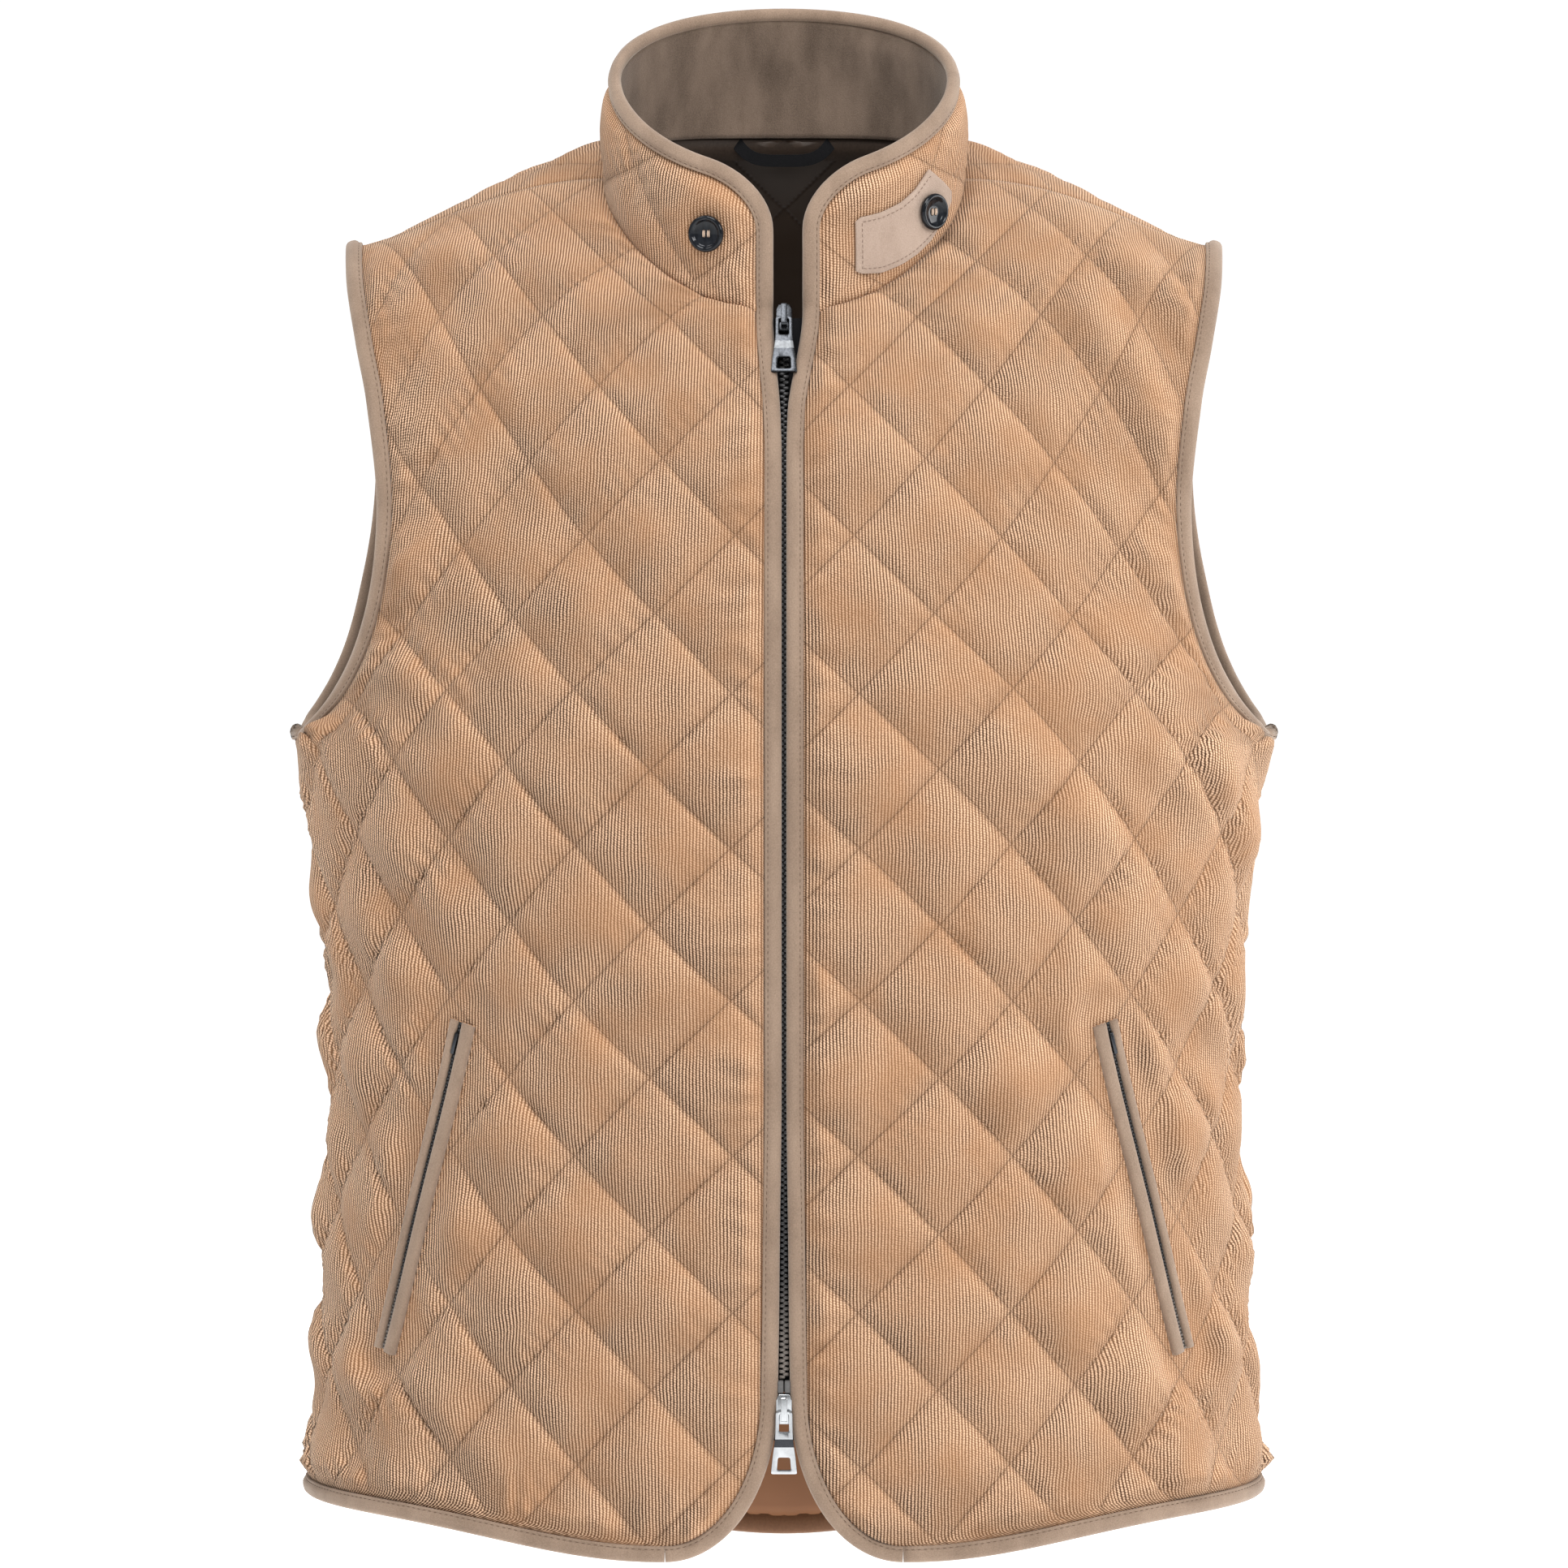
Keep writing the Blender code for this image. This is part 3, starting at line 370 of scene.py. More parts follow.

# %% [markdown]
# ## Lining satin
# The lining is a smooth brown satin, tan at the foot. Its upper half is painted dark, a painted shade for
# the deep inside of the garment. It has a silky gloss that is broader than a plastic's, and a fine
# diagonal weave that only just shows. It is quilted along with the cloth, so it has the same lines.

# %% Weave the lining
PAINTED_SHADE_FOOT_Z, PAINTED_SHADE_FADE = -0.52, 0.10
lining_satin, tree, sockets = new_finish("lining_satin", {"Roughness": 0.42, "Specular IOR Level": 0.20,
                                                          "Sheen Weight": 0.04})
cloth = map_place(tree, "cloth")
place = node(tree, "ShaderNodeSeparateXYZ", {"Vector": cloth})
diagonal = calc(tree, "ADD", place.outputs["X"], place.outputs["Y"])
twill = wave(tree, calc(tree, "DIVIDE", diagonal, 0.0007))
watered = noise(tree, cloth, 24.0, 3.0)
high = node(tree, "ShaderNodeSeparateXYZ", {"Vector": object_place(tree)}).outputs["Z"]
# painted shade: the satin turns dark above this height, where the inside of the garment lies in shade
upper_shade = spread(tree, high, PAINTED_SHADE_FOOT_Z, PAINTED_SHADE_FOOT_Z + PAINTED_SHADE_FADE)
tan = blend(tree, watered, (0.150, 0.060, 0.024, 1), (0.235, 0.104, 0.046, 1))
dark = blend(tree, watered, (0.020, 0.013, 0.009, 1), (0.050, 0.033, 0.023, 1))
satin = blend(tree, upper_shade, tan, dark)
satin = blend(tree, calc(tree, "MULTIPLY", twill, 0.06), satin, (0.200, 0.110, 0.062, 1))
thread_and_groove_shade = quilt_thread_and_groove_shade(tree, 0.03)
# dark thread dashes, with a painted shade of the groove between them
satin = blend(tree, calc(tree, "MULTIPLY", thread_and_groove_shade, 0.5), satin, (0.020, 0.010, 0.006, 1))
connect(tree, sockets["Base Color"], satin)
height = calc(tree, "SUBTRACT", calc(tree, "MULTIPLY", twill, 0.03), thread_and_groove_shade)
connect(tree, sockets["Normal"], bumped(tree, height, 0.0004))
print("lining satin:", len(tree.nodes), "nodes")

# %% [markdown]
# ## Threads, tape, plastic, metal and horn
# The small parts need quiet finishes. Thread and tape are matt with a fine twist, the zip's teeth are dull
# black plastic that turns warm grey towards the foot, the sliders are plated metal with a slightly uneven
# polish, and the buttons are dark polished horn with faint streaks.

# %% Make the small finishes
GREY_FOOT_Z, GREY_TOP_Z = -0.590, -0.530
THREAD, SATIN = (2500.0, 0.0001, 0.8), (900.0, 0.0001, 0.6)


def make_grained(name, dark, light, scale, depth, roughness):
    """A finish with one noise in its colour and its bump, of that scale and depth."""
    material, tree, sockets = new_finish(name, {"Roughness": roughness, "Specular IOR Level": 0.2})
    grain = noise(tree, object_place(tree), scale, 3.0)
    connect(tree, sockets["Base Color"], blend(tree, grain, dark, light))
    connect(tree, sockets["Normal"], bumped(tree, grain, depth))
    return material


def make_metal(name, dark, light, smooth, dull):
    material, tree, sockets = new_finish(name, {"Metallic": 1.0})
    place = object_place(tree)
    rubbed = noise(tree, place, 260.0, 4.0)
    connect(tree, sockets["Base Color"], blend(tree, rubbed, dark, light))
    connect(tree, sockets["Roughness"], spread(tree, noise(tree, place, 900.0), 0.3, 0.7, smooth, dull))
    return material


dark_thread = make_grained("dark_thread", (0.075, 0.043, 0.028, 1), (0.150, 0.092, 0.062, 1), *THREAD)
taupe_thread = make_grained("taupe_thread", (0.150, 0.100, 0.074, 1), (0.260, 0.180, 0.135, 1), *THREAD)
tan_thread = make_grained("tan_thread", (0.330, 0.175, 0.088, 1), (0.560, 0.330, 0.190, 1), *THREAD)
cream_thread = make_grained("cream_thread", (0.360, 0.250, 0.180, 1), (0.620, 0.490, 0.390, 1), *THREAD)
woven_tape = make_grained("woven_tape", (0.003, 0.003, 0.004, 1), (0.010, 0.010, 0.011, 1), 1800.0, 0.0002,
                          roughness=0.95)
hem_satin = make_grained("hem_satin", (0.110, 0.050, 0.024, 1), (0.180, 0.086, 0.043, 1), *SATIN)
# painted shade: a dark copy of the lining satin for the strips deep inside the neck and at the side seams
shaded_satin = make_grained("shaded_satin", (0.022, 0.014, 0.009, 1), (0.048, 0.031, 0.022, 1), *SATIN)
end_plastic = make_grained("end_plastic", (0.085, 0.082, 0.080, 1), (0.150, 0.145, 0.142, 1), 900.0, 0.00005,
                           roughness=0.40)
tooth_plastic, tree, sockets = new_finish("tooth_plastic", {"Roughness": 0.34})
high = node(tree, "ShaderNodeSeparateXYZ", {"Vector": object_place(tree)}).outputs["Z"]
# the teeth turn warm grey towards the foot of the zip
greyer_near_foot = spread(tree, high, GREY_FOOT_Z, GREY_TOP_Z, 1.0, 0.0)
connect(tree, sockets["Base Color"], blend(tree, greyer_near_foot, (0.026, 0.026, 0.027, 1), (0.190, 0.165, 0.145, 1)))

gunmetal = make_metal("gunmetal", (0.040, 0.043, 0.048, 1), (0.060, 0.063, 0.069, 1), 0.22, 0.34)
bright_metal = make_metal("bright_metal", (0.420, 0.435, 0.450, 1), (0.520, 0.535, 0.550, 1), 0.16, 0.26)
# painted highlight: the pale metal of the top pull's slanted middle facet
painted_highlight_metal = make_metal("painted_highlight_metal", (0.150, 0.157, 0.164, 1), (0.190, 0.197, 0.204, 1), 0.40, 0.52)

horn, tree, sockets = new_finish("dark_horn", {"Roughness": 0.10, "Specular IOR Level": 0.28})
grown = node(tree, "ShaderNodeMapping", {"Vector": object_place(tree), "Scale": (1.0, 1.0, 0.2)}).outputs[0]
streaks = noise(tree, grown, 420.0, 4.0)
connect(tree, sockets["Base Color"], blend(tree, spread(tree, streaks, 0.35, 0.75), (0.003, 0.004, 0.006, 1),
                                           (0.012, 0.014, 0.018, 1)))
print("materials so far:", len(bpy.data.materials))

# %% [markdown]
# ## The shell
# All the cloth hangs on one surface. It is a row of sections from the front hem (station 0) up to the
# shoulder seam (12) and down to the back hem (24); each section starts at the centre and goes round to the
# side seam or armhole. The table repeats the CAD's, because a scene can't read the part's source, and
# smooth curves through its rows give every section between.

# %% The section table
Section = namedtuple("Section", "station centre_y centre_z side_x side_y side_z turn")
SECTIONS = (
    Section(0, -0.117, -0.671, 0.2365, 0.002, -0.654, 90),
    Section(1, -0.119, -0.596, 0.2290, 0.002, -0.590, 90),
    Section(2, -0.121, -0.510, 0.2245, 0.002, -0.510, 90),
    Section(3, -0.122, -0.430, 0.2225, 0.002, -0.430, 90),
    Section(4, -0.127, -0.348, 0.2285, 0.002, -0.350, 90),
    Section(5, -0.130, -0.275, 0.2420, 0.002, -0.288, 90),
    Section(5.5, -0.1285, -0.247, 0.2335, -0.022, -0.2815, 81),
    Section(6, -0.126, -0.218, 0.2180, -0.041, -0.264, 70),
    Section(7, -0.117, -0.166, 0.1990, -0.061, -0.222, 55),
    Section(8, -0.101, -0.120, 0.1915, -0.068, -0.170, 45),
    Section(9, -0.0695, -0.0713, 0.1950, -0.063, -0.120, 38),
    Section(10, None, None, 0.2010, -0.050, -0.088, 32),
    Section(11, None, None, 0.2060, -0.027, -0.061, 28),
    Section(12, None, None, 0.2075, 0.008, -0.044, 24),
    Section(13, None, None, 0.2060, 0.034, -0.057, 28),
    Section(14, None, None, 0.2030, 0.056, -0.083, 32),
    Section(15, 0.062, 0.006, 0.1980, 0.071, -0.116, 38),
    Section(16, 0.094, -0.048, 0.1960, 0.077, -0.165, 45),
    Section(17, 0.110, -0.108, 0.2030, 0.068, -0.213, 55),
    Section(18, 0.115, -0.175, 0.2190, 0.045, -0.261, 70),
    Section(18.5, 0.1145, -0.224, 0.2335, 0.026, -0.2805, 81),
    Section(19, 0.112, -0.275, 0.2420, 0.002, -0.288, 90),
    Section(20, 0.103, -0.350, 0.2285, 0.002, -0.350, 90),
    Section(21, 0.097, -0.430, 0.2225, 0.002, -0.430, 90),
    Section(22, 0.100, -0.510, 0.2245, 0.002, -0.510, 90),
    Section(23, 0.105, -0.600, 0.2290, 0.002, -0.590, 90),
    Section(24, 0.109, -0.694, 0.2365, 0.002, -0.654, 90),
)
FRONT_HEM, UNDERARM_FRONT, FRONT_NECK, SHOULDER, BACK_NECK, UNDERARM_BACK, BACK_HEM = 0, 5, 9, 12, 15, 19, 24
FRONT_CENTRE_ROWS = [row for row in SECTIONS if row.station <= FRONT_NECK]
BACK_CENTRE_ROWS = [row for row in SECTIONS if row.station >= BACK_NECK]
FRONT_SEAM_ROWS = [row for row in SECTIONS if row.station <= UNDERARM_FRONT]
ARMHOLE_ROWS = [row for row in SECTIONS if UNDERARM_FRONT <= row.station <= UNDERARM_BACK]
BACK_SEAM_ROWS = [row for row in SECTIONS if row.station >= UNDERARM_BACK]


def curve(rows, column, station):
    """A table's column at a station, on a smooth curve through its rows."""
    knots = [row.station for row in rows]
    values = [getattr(row, column) for row in rows]
    slopes = np.gradient(values, knots)
    i = int(np.clip(np.searchsorted(knots, station) - 1, 0, len(knots) - 2))
    step = knots[i + 1] - knots[i]
    t = (station - knots[i]) / step
    rise = values[i + 1] - values[i]
    a = slopes[i] * step - rise
    b = rise - slopes[i + 1] * step
    return (1 - t) * values[i] + t * values[i + 1] + t * (1 - t) * ((1 - t) * a + t * b)


def ease(value, low, high):
    """0 up to low, 1 from high, and a smooth step between; for numbers and arrays."""
    t = np.clip((value - low) / (high - low), 0.0, 1.0)
    return t * t * (3 - 2 * t)


print("sections:", len(SECTIONS))

# %% [markdown]
# ## Edges of a section
# A section starts on the front edge, on the neck seam or at the middle of the back. The front edge turns
# away in a round corner at the hem, and is pushed aside a little by the two sliders. Between them the
# closed zip draws it in. The neck seam is an ellipse that tilts down to the front.

# %% Where a section starts and ends
FRONT_EDGE = 0.010
CORNER_WIDTH = 0.048
CORNER_TOP_Z = -0.596
CORNER_HEIGHT = 0.075
TOP_PARTING = {1: 0.0070, -1: 0.0032}
TOP_PARTING_REACH = 1.0
FOOT_PARTING, FOOT_PARTING_STATION, FOOT_PARTING_REACH = 0.0008, 0.9, 0.5
DRAWN_IN, DRAWN_IN_FROM, DRAWN_IN_TO = 0.0010, (1.6, 2.8), (7.6, 8.4)
NECK_STATIONS = (9, 10, 11, 12, 13, 14, 15)
NECK_ANGLES = (0, 35, 62, 92, 125, 155, 180)
NECK_HALF_WIDTH, NECK_HALF_DEPTH, NECK_CENTRE_Y = 0.088, 0.066, -0.004
NECK_SIDE_Z, NECK_TILT, NECK_DIP = -0.012, 0.039, 0.021


def neck_seam(angle):
    c = math.cos(angle)
    return Vector((NECK_HALF_WIDTH * math.sin(angle),
                   NECK_CENTRE_Y - NECK_HALF_DEPTH * c,
                   NECK_SIDE_Z - NECK_TILT * c - NECK_DIP * c * c))


def front_edge_x(station, side):
    """How far the cloth of a front stops from the middle."""
    corner = CORNER_WIDTH * (1 - math.cos(math.radians(90) * (1 - min(station, 1))))
    parting = TOP_PARTING[side] * ease(station, FRONT_NECK - TOP_PARTING_REACH, FRONT_NECK)
    apart = (station - FOOT_PARTING_STATION) / FOOT_PARTING_REACH
    drawn = DRAWN_IN * ease(station, *DRAWN_IN_FROM) * (1 - ease(station, *DRAWN_IN_TO))
    return FRONT_EDGE + corner + parting + FOOT_PARTING * math.exp(-apart ** 2) - drawn


def front_centre_yz(station):
    """Depth and height of the centre front at a station, with the rounded hem corner below station 1."""
    depth = curve(FRONT_CENTRE_ROWS, "centre_y", station)
    if station >= 1:
        return depth, curve(FRONT_CENTRE_ROWS, "centre_z", station)
    return depth, CORNER_TOP_Z - CORNER_HEIGHT * math.sin(math.radians(90) * (1 - station))


def centre_edge(station, side):
    """Where a section starts, on the +X side: the front edge, the neck seam or the middle of the back."""
    first_angle = math.asin(front_edge_x(FRONT_NECK, side) / NECK_HALF_WIDTH)
    if station <= FRONT_NECK:
        y, z = front_centre_yz(station)
        drawn_in = neck_seam(first_angle) - Vector((0, *front_centre_yz(FRONT_NECK)))
        share = ease(station, FRONT_NECK - 1, FRONT_NECK)
        return Vector((front_edge_x(station, side), y + drawn_in.y * share, z + drawn_in.z * share))
    if station <= BACK_NECK:
        angles = (math.degrees(first_angle),) + NECK_ANGLES[1:]
        return neck_seam(math.radians(np.interp(station, NECK_STATIONS, angles)))
    depth = curve(BACK_CENTRE_ROWS, "centre_y", station)
    return Vector((0, depth, curve(BACK_CENTRE_ROWS, "centre_z", station)))


def side_edge(station):
    """Where a section ends, on the +X side: the side seam or the armhole."""
    if station <= UNDERARM_FRONT:
        rows = FRONT_SEAM_ROWS
    elif station <= UNDERARM_BACK:
        rows = ARMHOLE_ROWS
    else:
        rows = BACK_SEAM_ROWS
    return Vector([curve(rows, column, station) for column in ("side_x", "side_y", "side_z")])


print("front edge at the hem:", round(front_edge_x(0, 1), 4))

# %% [markdown]
# ## Points and normals
# For fine sheets the shell is worked out a whole row at a time, as arrays. The normals come from the
# differences between neighbours, with one extra row and column all round so that two panels agree along the
# seam they share.

# %% Patches of the shell
HEM_MARGIN = 0.25
HEM_DROOP, BODY_DROOP, DROOP_REACH = 7.0, 1.5, 4


def shell_row(shares, station, side):
    """Points along a section: shares run from 0 at the centre to 1 at the side."""
    centre, edge = centre_edge(station, side), side_edge(station)
    turn = math.radians(curve(SECTIONS, "turn", station))
    angle = np.asarray(shares) * turn
    outward = np.sin(angle) / math.sin(turn)
    forward = (np.cos(angle) - math.cos(turn)) / (1 - math.cos(turn))
    from_hem = min(station - FRONT_HEM, BACK_HEM - station)
    droop = HEM_DROOP + (BODY_DROOP - HEM_DROOP) * ease(from_hem, 0, DROOP_REACH)
    return np.stack((side * (centre.x + (edge.x - centre.x) * outward),
                     edge.y + (centre.y - edge.y) * forward,
                     edge.z + (centre.z - edge.z) * np.maximum(forward, 0) ** droop), axis=-1)


def unit(vectors):
    return vectors / np.linalg.norm(vectors, axis=-1, keepdims=True)


def one_more(values):
    """The values with one more at each end, a step further on."""
    return np.concatenate(([2 * values[0] - values[1]], values, [2 * values[-1] - values[-2]]))


def shell_patch(shares, stations, side):
    """Points and outward normals on a grid, one row for each station."""
    points = np.array([shell_row(one_more(shares), s, side) for s in one_more(stations)])
    along, over = np.gradient(points, axis=0), np.gradient(points, axis=1)
    rising = 1 if stations[-1] > stations[0] else -1
    normals = unit(side * rising * np.cross(over, along))[1:-1, 1:-1]
    calm = np.clip(stations, FRONT_HEM + HEM_MARGIN, BACK_HEM - HEM_MARGIN)
    rows = [int(np.argmin(np.abs(stations - s))) for s in calm]
    return points[1:-1, 1:-1], normals[rows]


def shell_point(share, station, side):
    return Vector(shell_row([share], station, side)[0])


def shell_normal(share, station, side):
    step = 0.001
    station = min(max(station, FRONT_HEM + HEM_MARGIN), BACK_HEM - HEM_MARGIN)
    along = shell_point(share, station + step, side) - shell_point(share, station - step, side)
    over = shell_point(share + step, station, side) - shell_point(share - step, station, side)
    return side * over.cross(along).normalized()


print("underarm:", [round(x, 4) for x in shell_point(1, UNDERARM_FRONT, 1)])

# %% [markdown]
# ## The flat cloth
# Ribs and quilting belong to the cloth before it is cut, so each point needs its place on the flat cloth: u
# across the ribs, v along them. On the body v is simply the height. Further up it is measured along the
# surface, in the direction of the ribs, and the ribs lean towards the neck as they near the shoulder. Above
# the underarm they hang straight from the shoulder, so there u follows from x alone, as it does at the
# underarm.

# %% Lay the shell out flat
LEVEL_Z = -0.430
RIB_SOFTNESS = 0.35
LEAN, LEAN_FROM_Z, LEAN_WIDTH = 0.18, -0.25, 0.20
HUNG_STATIONS = (5.5, 8.5)


def midway(values, axis):
    """The mean of each value and the next."""
    ahead, behind = [slice(None)] * values.ndim, [slice(None)] * values.ndim
    ahead[axis], behind[axis] = slice(1, None), slice(None, -1)
    return (values[tuple(ahead)] + values[tuple(behind)]) / 2


def flat_cloth(points, stations):
    """u and v of each point of a patch whose rows go up from the hem."""
    along, over = np.gradient(points, axis=0), np.gradient(points, axis=1)
    softened = over[..., 0] ** 2 + (RIB_SOFTNESS * np.linalg.norm(over, axis=-1)) ** 2
    ribs = unit(along - over * (along[..., 0] * over[..., 0] / softened)[..., None])
    courses = unit(over - ribs * np.sum(over * ribs, axis=-1, keepdims=True))
    steps_over = np.sum(np.diff(points, axis=1) * midway(courses, 1), axis=-1)
    steps_up = np.sum(np.diff(points, axis=0) * midway(ribs, 0), axis=-1)
    first = np.abs(points[:, :1, 0])
    u = np.concatenate((first, first + np.cumsum(steps_over, axis=1)), axis=1)
    body = int(np.sum((stations <= UNDERARM_FRONT) | (stations >= UNDERARM_BACK)))
    level_row = np.abs(points[body - 1, :, 0])
    hung = np.interp(np.abs(points[..., 0]), level_row, u[body - 1])
    u = hung + (u - hung) * ease(np.abs(stations - SHOULDER), *HUNG_STATIONS)[:, None]
    u = u + LEAN * np.abs(points[..., 0]) / LEAN_WIDTH * np.maximum(points[..., 2] - LEAN_FROM_Z, 0)
    v = points[..., 2] - LEVEL_Z
    v[body:] = v[body - 1] + np.cumsum(steps_up[body - 1:], axis=0)
    return u, v


print("level line at", LEVEL_Z)

# %% [markdown]
# ## Quilting
# Thread runs through cloth, padding and lining in diamonds of 80 by 76 mm. Between the lines the padding
# lifts the cloth into soft pads; on a line it is pulled down, and small puckers gather along it. The pad is
# the product of two sine waves, and a sum of a few seeded waves gives the unevenness of hand-fed cloth. The
# cloth creeps a little under the needle, so the diamonds get narrower towards the side.

# %% Quilt a patch
QUILT_WIDE, QUILT_TALL = 0.080, 0.076
QUILT_STEP = 1 / math.hypot(1 / QUILT_WIDE, 1 / QUILT_TALL)
QUILT_ROW_V = 0.1023
CREEP, CREEP_AT = 0.027, 0.198
WAVER = 0.014
PAD_FULLNESS = 0.42
PAD_UNEVEN = 0.35
PUCKER, PUCKER_REACH, PUCKERS = 0.00065, 0.012, 6.1


def ripple(u, v, length, seed):
    """A gentle unevenness between about -1 and 1: seven waves of about that length in drawn directions."""
    draw = np.random.default_rng(seed)
    total = np.zeros_like(u)
    for _ in range(7):
        heading, start = draw.uniform(0, FULL_TURN, 2)
        size = length * draw.uniform(0.7, 1.5)
        total += np.sin((u * math.cos(heading) + v * math.sin(heading)) / size * FULL_TURN + start)
    return total / 3


def quilt_counts(u, v, node_u):
    """How many quilting lines of each slant a point is past; whole numbers are on a line."""
    crept = u + CREEP * (u / CREEP_AT) ** 3
    across, up = (crept - node_u) / QUILT_WIDE, (v - QUILT_ROW_V) / QUILT_TALL
    across, up = across + WAVER * ripple(u, v, 0.15, 3), up + WAVER * ripple(u, v, 0.15, 4)
    return across + up, across - up


def pads(one, two):
    """The height of the pads, 0 on the lines and about 1 in the middle, each one a little different."""
    pillow = np.abs(np.sin(np.pi * one) * np.sin(np.pi * two)) ** PAD_FULLNESS
    drawn = np.sin(np.floor(one) * 12.9898 + np.floor(two) * 78.233) * 43758.5453
    return pillow * (1 + PAD_UNEVEN * ((drawn % 1) - 0.5))


def puckers(one, two, u, v):
    """Small gathers beside the lines."""
    waver = ripple(u, v, 0.045, 5)
    total = 0
    for line, along in ((one, two), (two, one)):
        away = np.abs(line - np.round(line)) * QUILT_STEP
        gathers = np.sin(FULL_TURN * PUCKERS * along + 2.3 * np.round(line) + 2.0 * waver)
        total = total + np.exp(-(away / PUCKER_REACH) ** 2) * gathers
    return PUCKER * total * (0.6 + 0.4 * ripple(u, v, 0.06, 6))


print("distance between lines:", round(QUILT_STEP * 1000, 1), "mm")

# %% [markdown]
# ## From points to a piece
# `bmesh.ops.create_grid` makes a grid with the right number of rows and columns, and each vertex is then
# moved to its place on the cloth. The maps go onto the face corners. A Solidify modifier gives the sheet
# its thickness, to the inside. `add_piece` puts any finished bmesh into the scene, lets it ride on a body
# of the frame and hides the CAD nodes it stands for.

# %% Helpers for pieces
SHEET_THICKNESS = 0.0013


def add_piece(name, bm, material, nodes=(), body=BODY, sharp_from=None):
    """Puts a bmesh into the scene, smooth all over or with edges kept sharp from that many degrees on."""
    mesh = bpy.data.meshes.new(name)
    bm.to_mesh(mesh)
    bm.free()
    mesh.materials.append(material)
    mesh.polygons.foreach_set("use_smooth", [True] * len(mesh.polygons))
    if sharp_from:
        mesh.set_sharp_from_angle(angle=math.radians(sharp_from))
    piece = bpy.data.objects.new(name, mesh)
    bpy.context.scene.collection.objects.link(piece)
    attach(piece, body)
    if nodes:
        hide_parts(*nodes)
    return piece


def add_sheet_grid(bm, points, normals, maps):
    """Adds a grid of faces through points[row, column], facing along the normals, with its maps."""
    rows, columns = points.shape[0] - 1, points.shape[1] - 1
    made = bmesh.ops.create_grid(bm, x_segments=columns, y_segments=rows, size=0.5)
    at = {}
    for vert in made["verts"]:
        at[vert] = (round((vert.co.y + 0.5) * rows), round((vert.co.x + 0.5) * columns))
    for vert, spot in at.items():
        vert.co = points[spot]
    faces = list({face for vert in made["verts"] for face in vert.link_faces})
    layers = [(bm.loops.layers.uv.get(name) or bm.loops.layers.uv.new(name), values)
              for name, values in maps.items()]
    for face in faces:
        for loop in face.loops:
            for layer, values in layers:
                loop[layer].uv = values[at[loop.vert]]
    middle = max(faces, key=lambda face: face.calc_area())
    middle.normal_update()
    if middle.normal.dot(Vector(normals[at[middle.verts[0]]])) < 0:
        bmesh.ops.reverse_faces(bm, faces=faces)


def thicken(piece, thickness=SHEET_THICKNESS):
    wall = piece.modifiers.new("thickness", "SOLIDIFY")
    wall.thickness = thickness
    wall.offset = -1.0


def cut_size(u, v):
    """Width, length and area of the flat cut."""
    low, high = slice(None, -1), slice(1, None)
    corners = [(u[spot], v[spot]) for spot in ((low, low), (low, high), (high, high), (high, low))]
    area = sum(a[0] * b[1] - b[0] * a[1] for a, b in zip(corners, corners[1:] + corners[:1])) / 2
    return float(np.ptp(u)), float(np.ptp(v)), float(np.abs(area).sum())


def state_cut(piece, cut, halves=1):
    width, length, area = cut
    width, area = halves * width, halves * area
    print(piece.name, "cut", round(width, 3), "x", round(length, 3), "m,", round(area, 4), "m2")


print("sheet thickness:", SHEET_THICKNESS)

# %% [markdown]
# ## Pocket lines
# Each front has a slanted pocket. The quilting is pressed flat beside it, so its line is needed before the
# fronts: a row of frames down the pocket, each with a point, the way across towards the side seam and the
# way out.

# %% Find the pocket lines
POCKET_TOP, POCKET_FOOT = (0.157, -0.417), (0.196, -0.582)
POCKET_STEPS = 48
EdgeFrame = namedtuple("EdgeFrame", "point outward normal")


def edge_frames(points, normals, insides):
    """Frames along an edge; insides are points a little way in from it."""
    frames = []
    for i, (point, normal, inside) in enumerate(zip(points, normals, insides)):
        along = points[min(i + 1, len(points) - 1)] - points[max(i - 1, 0)]
        outward = along.cross(normal).normalized()
        if outward.dot(inside - point) > 0:
            outward.negate()
        frames.append(EdgeFrame(point, outward, normal))
    return frames


def front_place(x, z):
    """Share and station of the front's point that is x from the middle at height z."""
    stations = np.linspace(FRONT_HEM + 0.2, FRONT_NECK, 60)
    share = 0.5
    for _ in range(8):
        station = float(np.interp(z, [shell_point(share, s, 1).z for s in stations], stations))
        centre, edge = centre_edge(station, 1), side_edge(station)
        turn = math.radians(curve(SECTIONS, "turn", station))
        share = math.asin((x - centre.x) / (edge.x - centre.x) * math.sin(turn)) / turn
    return share, station


def pocket_frames(side):
    top, foot = np.array(front_place(*POCKET_TOP)), np.array(front_place(*POCKET_FOOT))
    places = [top + (foot - top) * t for t in np.linspace(0, 1, POCKET_STEPS + 1)]
    points = [shell_point(share, station, side) for share, station in places]
    normals = [shell_normal(share, station, side) for share, station in places]
    insides = [shell_point(share - 0.05, station, side) for share, station in places]
    return edge_frames(points, normals, insides)


SIDES = {"left": 1, "right": -1}
pocket_lines = {side: pocket_frames(side) for side in SIDES.values()}
print("pocket:", round((pocket_lines[1][0].point - pocket_lines[1][-1].point).length, 4), "m long")

# %% [markdown]
# ## Front and back
# A panel is a patch of the shell, raised along its normals by the quilting. The pads fade out towards
# bindings, seams and pockets, where sewing presses them flat, and are flatter on the chest, where the cloth
# is stretched. The grid is about 2.8 mm fine, enough for the puckers; all that is finer is in the
# corduroy's nodes. The back is two mirrored halves, joined where they meet.

